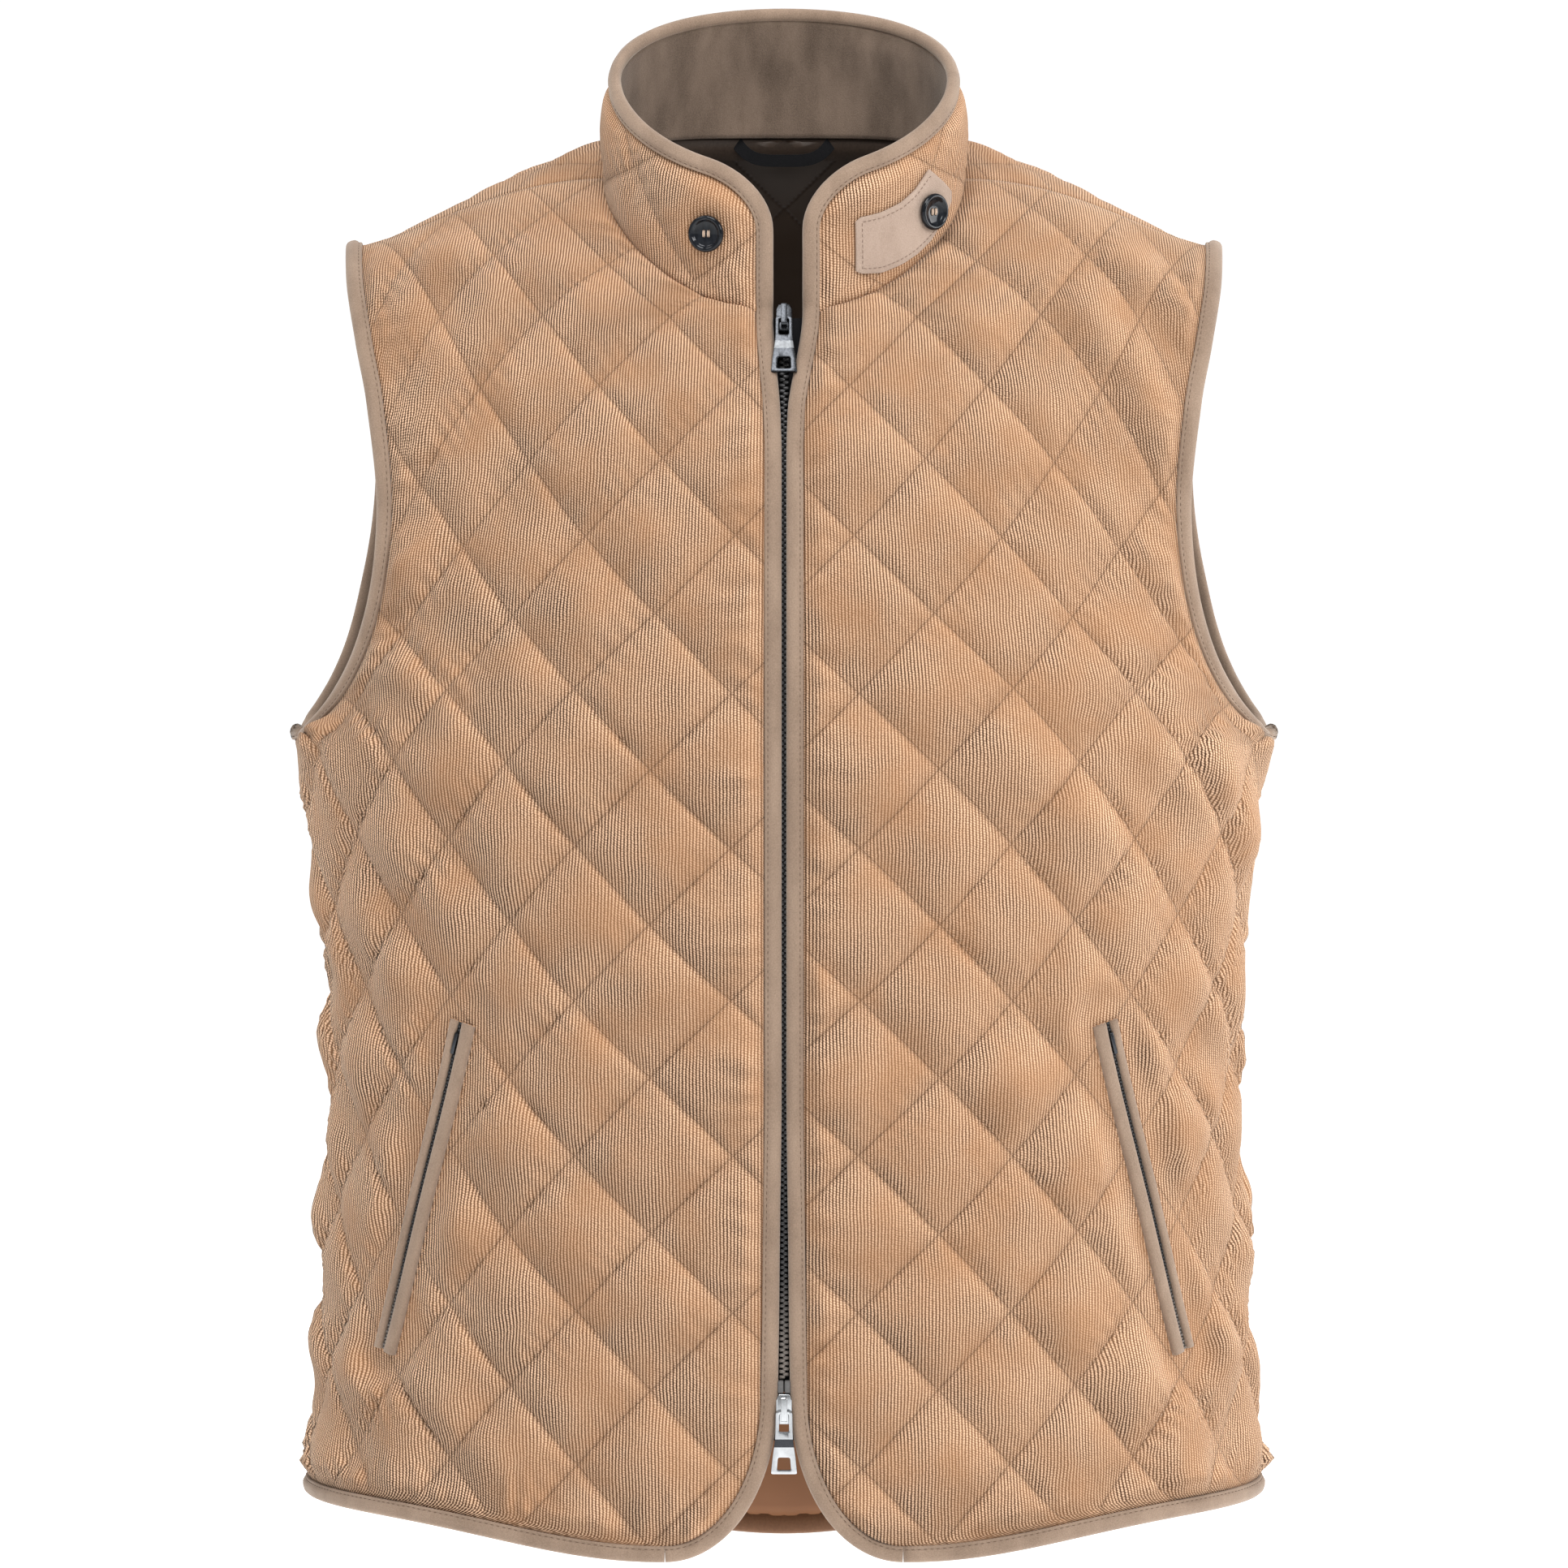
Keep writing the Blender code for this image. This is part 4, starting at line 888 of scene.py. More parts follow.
# %% Quilt the fronts and the back
CLOTH_STEP = 0.0028
STITCH_LEVEL = -0.0009
PAD_HEIGHT = 0.0056
SAG = 0.0015
EDGE_FADE = 0.009
SEAM_FADE = 0.009
SHOULDER_FADE = 0.060
POCKET_FLAT, POCKET_FADE = 0.010, 0.026
CHEST_FLAT, CHEST_V = 0.38, (0.06, 0.26)
SIDE_FULL = 0.15
GATHER, GATHER_PITCH, GATHER_REACH = 0.0010, 0.014, 0.019
ARMHOLE_STATIONS, UNDERARM_FADE = (5.5, 6.5), (0.008, 0.040)
DEEPEST_DIP, HEM_GATHER_ENDS = -0.0010, (0.010, 0.045)
RIB_BEND = 0.0005
QUILT_NODE_U = {1: 0.0368, -1: 0.0256}
EVEN_AT_FRONT, EVEN_AT_BACK = 3, 21
SHORTEST_RUN, STEEPEST_LEAN = 0.0002, 1.5


def run_along(points):
    """How far along a row of points each one is."""
    return np.concatenate(([0], np.cumsum(np.linalg.norm(np.diff(points, axis=0), axis=1))))


def even_shares(station, side, step):
    """Shares that are about evenly spaced along a section."""
    fine = np.linspace(0, 1, 400)
    run = run_along(shell_row(fine, station, side))
    return np.interp(np.linspace(0, run[-1], round(run[-1] / step) + 1), run, fine)


def even_stations(first, last, step):
    """Stations that are about evenly spaced along the middle of a panel."""
    fine = np.linspace(first, last, 500)
    line = np.array([shell_row([0.5], s, 1)[0] for s in fine])
    run = run_along(line)
    return np.interp(np.linspace(0, run[-1], round(run[-1] / step) + 1), run, fine)


def nearest(points, line):
    """How far each point is from a line of points."""
    line = np.array([tuple(p) for p in line])
    return np.sqrt(((points[..., None, :] - line) ** 2).sum(-1).min(-1))


def flank_tilt(lift, u, v, side):
    """How far the flanks of the pads lean to +X and up."""
    run_u = np.maximum(np.gradient(u, axis=1), SHORTEST_RUN)
    run_v = np.maximum(np.gradient(v, axis=0), SHORTEST_RUN)
    lean = np.stack((-side * np.gradient(lift, axis=1) / run_u, -np.gradient(lift, axis=0) / run_v), axis=-1)
    return np.clip(lean, -STEEPEST_LEAN, STEEPEST_LEAN)


def edge_gathers(away, along, seed):
    """Short puckers where the binding draws the cloth in: away from the edge, and along it."""
    wander = ripple(away, along, 0.05, seed + 3)
    folds = np.sin(FULL_TURN * along / GATHER_PITCH + 2.5 * wander)
    return GATHER * np.exp(-(away / GATHER_REACH) ** 2) * folds * (0.6 + 0.4 * wander)


def panel(bm, side, stations, node_u, level=STITCH_LEVEL, pad=PAD_HEIGHT, step=CLOTH_STEP, seed=1):
    """Adds one quilted panel to a bmesh and returns the size of its flat cut."""
    shares = even_shares(EVEN_AT_FRONT if stations[0] < SHOULDER else EVEN_AT_BACK, side, step)
    points, normals = shell_patch(shares, stations, side)
    u, v = flat_cloth(points, stations)
    one, two = quilt_counts(u, v, node_u)
    open_centre = u - u[:, :1] if node_u else u - u[:, :1] + EDGE_FADE * (points[:, :1, 0] == 0)
    edge = np.minimum(open_centre, v - v[:1])
    seam = np.minimum(u[:, -1:] - u, v[-1:] - v)
    shoulder = ease(v[-1:] - v, -SHOULDER_FADE / 3, SHOULDER_FADE)
    fade = ease(edge, 0, EDGE_FADE) * ease(seam, 0, SEAM_FADE) * shoulder
    far = np.clip(u / CREEP_AT, 0, 1.2) ** 2
    uneven = SAG * (0.35 + far) * ripple(u, v, 0.055, seed) + puckers(one, two, u, v) * (0.6 + far)
    armhole = 1 - ease(np.abs(stations - SHOULDER), *ARMHOLE_STATIONS)[:, None]
    gathers = edge_gathers(open_centre, v, seed)
    gathers = gathers + ease(u[:, -1:] - u, *HEM_GATHER_ENDS) * edge_gathers(v - v[:1], u, seed)
    gathers = gathers + armhole * edge_gathers(u[:, -1:] - u, v, seed)
    beside = ease(nearest(points, [f.point for f in pocket_lines[side]]), POCKET_FLAT, POCKET_FADE)
    fade = fade * ease(nearest(points, [shell_point(1, UNDERARM_FRONT, side)]), *UNDERARM_FADE)
    cushion = pads(one, two) * (1 - CHEST_FLAT * ease(v, *CHEST_V)) * (1 + SIDE_FULL * far)
    raised = pad * cushion + np.sign(pad) * (uneven * np.sqrt(cushion) + gathers)
    lift = level * (beside if pad > 0 else 1.0) + beside * fade * raised
    if pad > 0:
        lift = np.maximum(lift, DEEPEST_DIP)
    small_bends = ripple(u, v, 0.030, seed + 1) + 0.5 * ripple(u, v, 0.014, seed + 2)
    bend = RIB_BEND * fade * (0.3 + far) * small_bends
    maps = {"cloth": np.stack((side * (u + bend), v), axis=-1), "quilt": np.stack((one, two), axis=-1),
            "tilt": flank_tilt(lift, u, v, side)}
    add_sheet_grid(bm, points + normals * lift[..., None], normals * np.sign(pad), maps)
    return cut_size(u, v)


front_stations = even_stations(FRONT_HEM, SHOULDER, CLOTH_STEP)
back_stations = even_stations(BACK_HEM, SHOULDER, CLOTH_STEP)
for word, side in SIDES.items():
    bm = bmesh.new()
    cut = panel(bm, side, front_stations, QUILT_NODE_U[side], seed=10 + side)
    front = add_piece("front_cloth_" + word, bm, corduroy, ["front_" + word])
    thicken(front)
    state_cut(front, cut)

bm = bmesh.new()
for side in SIDES.values():
    cut = panel(bm, side, back_stations, 0.0, seed=20)
bmesh.ops.remove_doubles(bm, verts=bm.verts[:], dist=1e-5)
back = add_piece("back_cloth", bm, corduroy, ["back"])
thicken(back)
state_cut(back, cut, len(SIDES))

# %% [markdown]
# ## Linings
# The lining is the inner side of the same quilted layers, so its pads swell inwards. The same function
# makes it, with a lower level, a negative pad height and a coarser grid, because it is only seen through
# the openings. A short stay tape will cover the top of each side seam inside, so the frames of its line are
# set here.

# %% Line the fronts and the back
LINING_STEP = 0.0055
LINING_LEVEL = -0.0032
LINING_PAD = -0.0024
LINING_THICKNESS = 0.0006


def line_panel(name, halves, node, stations):
    bm = bmesh.new()
    for side, node_u in halves:
        cut = panel(bm, side, stations, node_u, LINING_LEVEL, LINING_PAD, LINING_STEP, seed=30)
    if len(halves) > 1:
        bmesh.ops.remove_doubles(bm, verts=bm.verts[:], dist=1e-5)
    piece = add_piece(name, bm, lining_satin, [node])
    thicken(piece, -LINING_THICKNESS)
    state_cut(piece, cut, len(halves))


inner_fronts = even_stations(FRONT_HEM, SHOULDER, LINING_STEP)
inner_backs = even_stations(BACK_HEM, SHOULDER, LINING_STEP)
for word, side in SIDES.items():
    line_panel("front_lining_" + word, [(side, QUILT_NODE_U[side])], "lining_front_" + word, inner_fronts)
line_panel("back_lining", [(1, 0.0), (-1, 0.0)], "lining_back", inner_backs)

SIDE_STAY = ((-0.006, -0.0026), (0.006, -0.0026), (0.006, -0.0036), (-0.006, -0.0036))
SIDE_STAY_STATIONS = np.linspace(3.4, UNDERARM_FRONT, 40)
side_lines = {}
for word, side in SIDES.items():
    side_lines[word] = [EdgeFrame(shell_point(1, s, side), Vector((0, 1, 0)), Vector((side, 0, 0)))
                        for s in SIDE_STAY_STATIONS]

# %% [markdown]
# ## Collar
# The collar is a band that stands on the neck seam and leans in a little towards its top edge. Its front
# corners are rounded, so the columns next to them are shorter. Corduroy is on the outside and suede on the
# inside. The quilting is pressed flat where the tab and the buttons lie.

# %% Shape the collar
COLLAR_TOP_HALF_WIDTH, COLLAR_TOP_HALF_DEPTH, COLLAR_TOP_CENTRE_Y = 0.084, 0.061, -0.007
COLLAR_TOP_Z = (0.0389, -0.0365, -0.0050, 0.0003)
COLLAR_BULGE = 0.002
COLLAR_HEIGHT = 0.065
COLLAR_CORNER = 0.022
BINDING_WIDTH = 0.008
CORNER_COLUMNS = 12


def collar_point(angle, share):
    """A point of the collar's outer face: share runs from the neck seam to the top edge, binding included."""
    c = math.cos(angle)
    height = sum(factor * c ** power for power, factor in enumerate(COLLAR_TOP_Z))
    head = Vector((COLLAR_TOP_HALF_WIDTH * math.sin(angle),
                   COLLAR_TOP_CENTRE_Y - COLLAR_TOP_HALF_DEPTH * c, height))
    out = Vector((math.sin(angle), -c, 0))
    return neck_seam(angle).lerp(head, share) + out * COLLAR_BULGE * math.sin(math.pi * share)


def collar_normal(angle, share):
    step = 0.01
    round_it = collar_point(angle + step, share) - collar_point(angle - step, share)
    up_it = collar_point(angle, share + step) - collar_point(angle, share - step)
    return round_it.cross(up_it).normalized()


def collar_ends():
    """The angles at which the collar's cloth starts and ends, in line with the front edges."""
    first = math.asin(front_edge_x(FRONT_NECK, 1) / NECK_HALF_WIDTH)
    last = FULL_TURN - math.asin(front_edge_x(FRONT_NECK, -1) / NECK_HALF_WIDTH)
    return first, last


def collar_columns(count):
    """Angle and top share of each column of the collar's cloth."""
    first, last = collar_ends()
    full = 1 - BINDING_WIDTH / COLLAR_HEIGHT
    reach = COLLAR_CORNER / NECK_HALF_DEPTH
    rounds = [math.radians(90) * i / CORNER_COLUMNS for i in range(CORNER_COLUMNS)]
    start = [(first + reach * (1 - math.cos(r)), full - (1 - math.sin(r)) * COLLAR_CORNER / COLLAR_HEIGHT)
             for r in rounds]
    end = [(last - (angle - first), share) for angle, share in reversed(start)]
    middle = [(angle, full) for angle in np.linspace(first + reach, last - reach, count + 1)]
    return start + middle + end


def collar_patch(columns, rows, foot, over=0.0):
    """Points, normals, places round (u) and up (v) the flat collar, and its whole girth."""
    points, normals, angles, shares = [], [], [], []
    for row in range(rows + 1):
        for angle, high in columns:
            share = foot + (high + over - foot) * row / rows
            points.append(collar_point(angle, share))
            normals.append(collar_normal(angle, share))
            angles.append(angle)
            shares.append(share)
    shape = (rows + 1, len(columns))
    points, normals = (np.array(p).reshape(*shape, 3) for p in (points, normals))
    girth = [np.array(collar_point(a, 0.5)) for a in np.linspace(0, FULL_TURN, 721)]
    run = run_along(girth)
    u = np.interp(np.array(angles), np.linspace(0, FULL_TURN, 721), run).reshape(shape)
    return points, normals, u, np.array(shares).reshape(shape) * COLLAR_HEIGHT, run[-1]


print("collar from", [round(math.degrees(a), 1) for a in collar_ends()], "degrees")

# %% [markdown]
# ## Collar cloth and facing
# The collar's corduroy is quilted like the panels, with its lines mirrored about the middle of the back.
# Its foot laps over the neck seam. The suede facing lies inside it with a slight wave, and a strip of satin
# covers the neck seam.

# %% Sew the collar and its facing
COLLAR_COLUMNS, COLLAR_ROWS = 190, 24
COLLAR_PAD = 0.0030
COLLAR_FOOT, COLLAR_LAP = -0.03, 0.0014
FACING_FOOT, FACING_OVER = -0.01, 0.035
COLLAR_NODE_U, COLLAR_NODE_V = 0.046, 0.004
COLLAR_BUTTON, TAB_BUTTON = (335, 0.45), (53, 0.31)
TAB_LINE = [(angle, 0.33) for angle in range(26, 62, 6)]
BUTTON_PRESS, TAB_PRESS = (0.006, 0.016), (0.012, 0.028)
LAP_REACH = 0.006
FACING_LEVEL, FACING_WAVE, FACING_FADE = -0.0033, 0.0010, 0.012


def collar_spot(angle_degrees, share):
    return collar_point(math.radians(angle_degrees), share)


points, normals, u, v, girth = collar_patch(collar_columns(COLLAR_COLUMNS), COLLAR_ROWS, COLLAR_FOOT)
mirrored = np.minimum(u, girth - u)
across, up = (mirrored - COLLAR_NODE_U) / QUILT_WIDE, (v - COLLAR_NODE_V) / QUILT_TALL
one, two = across + up, across - up
edge = np.minimum(np.minimum(u - u[:, :1], u[:, -1:] - u), v[-1:] - v)
fade = ease(edge, 0, EDGE_FADE) * ease(v - v[:1], 0, SEAM_FADE)
pressed = ease(nearest(points, [collar_spot(*COLLAR_BUTTON)]), *BUTTON_PRESS)
pressed = pressed * ease(nearest(points, [collar_spot(*spot) for spot in TAB_LINE]), *TAB_PRESS)
cushion = pads(one, two)
quilted = COLLAR_PAD * cushion + puckers(one, two, u, v) * np.sqrt(cushion)
lift = STITCH_LEVEL * pressed + COLLAR_LAP * (1 - ease(v, 0, LAP_REACH)) + fade * pressed * quilted
bend = RIB_BEND * fade * ripple(u, v, 0.030, 41)
bm = bmesh.new()
add_sheet_grid(bm, points + normals * lift[..., None], normals,
               {"cloth": np.stack((u + bend, v), axis=-1), "quilt": np.stack((one, two), axis=-1),
                "tilt": flank_tilt(lift, u, v, 1)})
collar = add_piece("collar_cloth", bm, corduroy, ["collar"])
thicken(collar)
state_cut(collar, cut_size(u, v))

columns = collar_columns(COLLAR_COLUMNS)
points, normals, u, v, girth = collar_patch(columns, COLLAR_ROWS, FACING_FOOT, FACING_OVER)
bm = bmesh.new()
fade = ease(v[-1:] - v, 0, FACING_FADE)
wave_in = FACING_LEVEL - FACING_WAVE * fade * (1 + ripple(u, v, 0.06, 42)) / 2
add_sheet_grid(bm, points + normals * wave_in[..., None], -normals, {})
facing = add_piece("facing_suede", bm, facing_suede, ["collar_facing"])
thicken(facing, -LINING_THICKNESS)
state_cut(facing, cut_size(u, v))

NECK_STRIP_ANGLES = np.radians(np.linspace(60, 300, 81))
NECK_STRIP = ((-0.012, -0.0025), (0.002, -0.0025), (0.002, -0.0031), (-0.012, -0.0031))
neck_line = []
for angle in NECK_STRIP_ANGLES:
    rise = (collar_point(angle, 0.1) - collar_point(angle, 0)).normalized()
    neck_line.append(EdgeFrame(collar_point(angle, 0), rise, collar_normal(angle, 0)))

# %% [markdown]
# ## Bindings
# A binding is a strip of suede folded over the raw edge and sewn down close to its inner side. In section
# it is a flat roll with a small groove where the stitches pull it in. That outline is carried along the
# edge: a grid whose columns go once round the outline and whose rows go along the edge, with its first and
# last column merged and its two ends filled. One strip goes up the left front edge, round the collar and
# down the right front edge.

# %% Helpers for bindings
BINDING_OUTLINE = (
    (-0.0003, -0.0008), (-0.0002, 0.0003), (0.0004, 0.0007), (0.0012, 0.0004),
    (0.0020, 0.0012), (0.0034, 0.0017), (0.0052, 0.0014), (0.0068, 0.0006),
    (0.0077, -0.0008), (0.0079, -0.0021), (0.0074, -0.0034), (0.0062, -0.0043),
    (0.0042, -0.0047), (0.0024, -0.0044), (0.0018, -0.0034), (0.0000, -0.0030),
)
STITCH_OUT, STITCH_UP = 0.0012, 0.0005


def sweep(bm, frames, outline):
    """Carries a closed outline of (out, up) places along a row of frames."""
    rows, columns = len(frames) - 1, len(outline)
    made = bmesh.ops.create_grid(bm, x_segments=columns, y_segments=rows, size=0.5)
    for vert in made["verts"]:
        at = frames[round((vert.co.y + 0.5) * rows)]
        out, up = outline[round((vert.co.x + 0.5) * columns) % columns]
        vert.co = at.point + at.outward * out + at.normal * up
    bmesh.ops.remove_doubles(bm, verts=made["verts"], dist=1e-6)
    bmesh.ops.holes_fill(bm, edges=[edge for edge in bm.edges if edge.is_boundary], sides=0)
    bmesh.ops.recalc_face_normals(bm, faces=bm.faces[:])


def add_strip(name, frames, outline, material, nodes):
    bm = bmesh.new()
    sweep(bm, frames, outline)
    return add_piece(name, bm, material, nodes)


def front_edge_frames(side):
    stations = np.concatenate((np.linspace(0, 1, 40), np.linspace(1, FRONT_NECK, 150)[1:]))
    points = [shell_point(0, s, side) for s in stations]
    normals = [shell_normal(0, s, side) for s in stations]
    return edge_frames(points, normals, [shell_point(0.1, s + 0.2, side) for s in stations])


def armhole_frames(side):
    stations = np.linspace(UNDERARM_FRONT, UNDERARM_BACK, 190)
    points = [shell_point(1, s, side) for s in stations]
    normals = [shell_normal(1, s, side) for s in stations]
    frames = edge_frames(points, normals, [shell_point(0.9, s, side) for s in stations])
    for end in (0, -1):
        normal = Vector((frames[end].normal.x, 0, frames[end].normal.z)).normalized()
        frames[end] = EdgeFrame(points[end], Vector((-side * normal.z, 0, side * normal.x)), normal)
    return frames


def hem_frames():
    """From one front corner round the back to the other."""
    half = [(share, FRONT_HEM) for share in np.linspace(0, 1, 80)]
    half += [(share, BACK_HEM) for share in np.linspace(1, 0, 80)[1:]]
    places = [(*place, 1) for place in half] + [(*place, -1) for place in reversed(half[:-1])]
    points = [shell_point(*place) for place in places]
    normals = [shell_normal(*place) for place in places]
    return edge_frames(points, normals, [point + Vector((0, 0, 0.01)) for point in points])


def collar_frames():
    """Up one front edge, round the corners and the top, and down the other."""
    columns = collar_columns(120)
    first, last = collar_ends()
    rise = [columns[0][1] * i / 20 for i in range(20)]
    places = [(first, share) for share in rise] + columns + [(last, share) for share in reversed(rise)]
    points = [collar_point(*place) for place in places]
    normals = [collar_normal(*place) for place in places]
    centre = (first + last) / 2
    return edge_frames(points, normals, [collar_point(a + 0.05 * (centre - a), s - 0.1) for a, s in places])


print("binding outline:", len(BINDING_OUTLINE), "points")

# %% [markdown]
# ## Binding every edge
# The frames of each edge are turned into each other where two edges meet, and the outline is swept along
# them. Satin strips then cover the raw edges inside: round the back hem, along the neck seam and at the top
# of the side seams.

# %% Bind the edges
BACK_HEM_FROM_Y = 0.01
SMOOTH_FRAMES = 12


def eased(frames, passes=SMOOTH_FRAMES):
    """The same frames, turning into each other without a jolt."""
    for _ in range(passes):
        middle = []
        for before, at, after in zip(frames, frames[1:], frames[2:]):
            outward = (before.outward + at.outward + after.outward).normalized()
            normal = (before.normal + at.normal + after.normal).normalized()
            middle.append(EdgeFrame(at.point, outward, normal))
        frames = frames[:1] + middle + frames[-1:]
    return frames


left_front, right_front = front_edge_frames(1), front_edge_frames(-1)
round_front = eased(left_front + collar_frames()[1:-1] + right_front[::-1])
bound_edges = {"hem": (hem_frames(), ["hem_binding"]),
               "front": (round_front, ["front_binding_left", "collar_binding", "front_binding_right"])}
for word, side in SIDES.items():
    bound_edges["armhole_" + word] = (armhole_frames(side), ["armhole_binding_" + word])
for word, (frames, stands_for) in bound_edges.items():
    strip = add_strip(word + "_edge", frames, BINDING_OUTLINE, suede, stands_for)
    print(strip.name, len(frames), "frames")

HEM_STRIP = ((-0.0040, -0.0040), (0.0024, -0.0050), (0.0042, -0.0052), (0.0060, -0.0048), (0.0072, -0.0038),
             (0.0070, -0.0034), (0.0060, -0.0042), (0.0042, -0.0046), (0.0024, -0.0043), (-0.0040, -0.0036))
back_hem = [f for f in bound_edges["hem"][0] if f.point.y > BACK_HEM_FROM_Y]
add_strip("hem_turning", back_hem, HEM_STRIP, hem_satin, ())
add_strip("neck_turning", neck_line, NECK_STRIP, shaded_satin, ())
for word, line in side_lines.items():
    add_strip("side_stay_" + word, line, SIDE_STAY, shaded_satin, ())

# %% [markdown]
# ## Stitches
# A lockstitch shows as a row of short, plump dashes. One dash is an icosphere of twenty faces, stretched
# along the seam, so even a thousand of them stay light. `sew` walks along a row of frames and sets one dash
# for each stitch.

# %% Sew the bindings down
STITCH_PITCH = 0.0031
STITCH_SIZE = (0.00100, 0.00020, 0.00020)
STITCH_FACES = 20


def walk(points, pitch):
    """Middle and direction of each stitch along a row of points."""
    run = np.concatenate(([0], np.cumsum([(b - a).length for a, b in zip(points, points[1:])])))
    line = np.array([tuple(p) for p in points])
    for at in np.arange(pitch / 2, run[-1], pitch):
        both = (at - pitch / 4, at + pitch / 4)
        ends = [np.array([np.interp(x, run, line[:, k]) for k in range(3)]) for x in both]
        yield Vector((ends[0] + ends[1]) / 2), Vector(ends[1] - ends[0]).normalized(), at / run[-1]


def sew(bm, points, normals, pitch=STITCH_PITCH, size=STITCH_SIZE):
    for middle, along, share in walk(points, pitch):
        normal = normals[round(share * (len(normals) - 1))]
        over = along.cross(normal).normalized()
        turn = Matrix((along, over, over.cross(along) * -1)).transposed().to_4x4()
        matrix = Matrix.Translation(middle) @ turn @ Matrix.Diagonal((*size, 1))
        bmesh.ops.create_icosphere(bm, subdivisions=1, radius=1.0, matrix=matrix)


def shifted(frames, out, up):
    return [f.point + f.outward * out + f.normal * up for f in frames]


bm = bmesh.new()
for frames, _ in bound_edges.values():
    sew(bm, shifted(frames, STITCH_OUT, STITCH_UP), [f.normal for f in frames])
bmesh.ops.recalc_face_normals(bm, faces=bm.faces[:])
binding_stitches = add_piece("binding_stitches", bm, dark_thread)
print("stitches:", len(binding_stitches.data.polygons) // STITCH_FACES)

# %% [markdown]
# ## Throat tab
# The tab is two layers of pale suede, stitched round its edge. It lies on the left of the collar, so it is
# a grid on the collar's own angles and shares, between a lower and an upper edge, with Solidify for the
# thickness.

# %% Cut the tab
TabStation = namedtuple("TabStation", "angle low high")
TAB_STATIONS = (
    TabStation(23, 0.19, 0.55),
    TabStation(25, 0.16, 0.57),
    TabStation(32, 0.10, 0.55),
    TabStation(40, 0.07, 0.55),
    TabStation(46, 0.06, 0.58),
    TabStation(53, 0.07, 0.66),
    TabStation(60, 0.14, 0.46),
    TabStation(65, 0.21, 0.30),
)
TAB_COLUMNS, TAB_ROWS = 42, 16
TAB_TOP = 0.0020
TAB_THICKNESS = 0.0014
TAB_STITCH_INSET, TAB_STITCH_PITCH, TAB_STITCH_RISE = 0.09, 0.0026, 0.0001
TAB_SEAM_START, TAB_LOW_SEAM_END, TAB_HIGH_SEAM_END = 0.05, 0.86, 0.72
TAB_SOFT_EDGE = 0.0004


def tab_place(across, up):
    """Angle and share of a point of the tab; across and up run from 0 to 1."""
    angles, lows, highs = zip(*TAB_STATIONS)
    angle = angles[0] + (angles[-1] - angles[0]) * across
    low, high = np.interp(angle, angles, lows), np.interp(angle, angles, highs)
    return math.radians(angle), low + (high - low) * up


def on_collar(angle, share, height):
    return collar_point(angle, share) + collar_normal(angle, share) * height


places = [[tab_place(i / TAB_COLUMNS, j / TAB_ROWS) for i in range(TAB_COLUMNS + 1)]
          for j in range(TAB_ROWS + 1)]
points = np.array([[on_collar(*place, TAB_TOP) for place in row] for row in places])
normals = np.array([[collar_normal(*place) for place in row] for row in places])
bm = bmesh.new()
add_sheet_grid(bm, points, normals, {})
tab = add_piece("throat_tab", bm, pale_suede, ["collar_tab"])
thicken(tab, TAB_THICKNESS)
soften = tab.modifiers.new("soft_edge", "BEVEL")
soften.width = TAB_SOFT_EDGE
soften.segments = 2

inset, far = TAB_STITCH_INSET, 1 - TAB_STITCH_INSET
seam_lines = ([(t, inset) for t in np.linspace(TAB_SEAM_START, TAB_LOW_SEAM_END, 30)],
              [(TAB_SEAM_START, t) for t in np.linspace(far, inset, 14)],
              [(t, far) for t in np.linspace(TAB_SEAM_START, TAB_HIGH_SEAM_END, 26)])
bm = bmesh.new()
for line in seam_lines:
    spots = [tab_place(*place) for place in line]
    over_tab = [on_collar(*spot, TAB_TOP + TAB_STITCH_RISE) for spot in spots]
    sew(bm, over_tab, [collar_normal(*spot) for spot in spots], TAB_STITCH_PITCH)
bmesh.ops.recalc_face_normals(bm, faces=bm.faces[:])
add_piece("tab_stitches", bm, taupe_thread)

# %% [markdown]
# ## Buttons
# A button is turned on a lathe, and `spin` is Blender's lathe: a half profile goes once round the axis.
# Four holes are drilled with a Boolean, which is applied at once, and two bars of thread join them in
# pairs.

# %% Turn the buttons
BUTTON_PROFILE = ((0, 0), (0.0080, 0), (0.0088, 0.0006), (0.0090, 0.0014), (0.0089, 0.0022), (0.0084, 0.0028),
                  (0.0078, 0.0030), (0.0072, 0.0029), (0.0067, 0.0025), (0.0062, 0.0018), (0.0057, 0.0014),
                  (0.0030, 0.0011), (0, 0.0010))
BUTTON_STEPS = 64
THREAD_BAR = (0.00035, 0.0018, 0.0006, 1)
HOLE_RADIUS, HOLE_ASIDE, HOLE_MIDDLE, HOLE_DEPTH = 0.00085, 0.00119, 0.0015, 0.006
STRAND_ASIDE, STRAND_HEIGHT = 0.00035, 0.0013
BUTTON_LIFT = {"collar": 0.0004, "tab": 0.0022}


def standing_frame(point, normal):
    """A frame with its z axis along the normal and its y axis as near to upright as that allows."""
    across = Vector((0, 0, 1)).cross(normal).normalized()
    frame = Matrix((across, normal.cross(across), normal)).transposed().to_4x4()
    frame.translation = point
    return frame


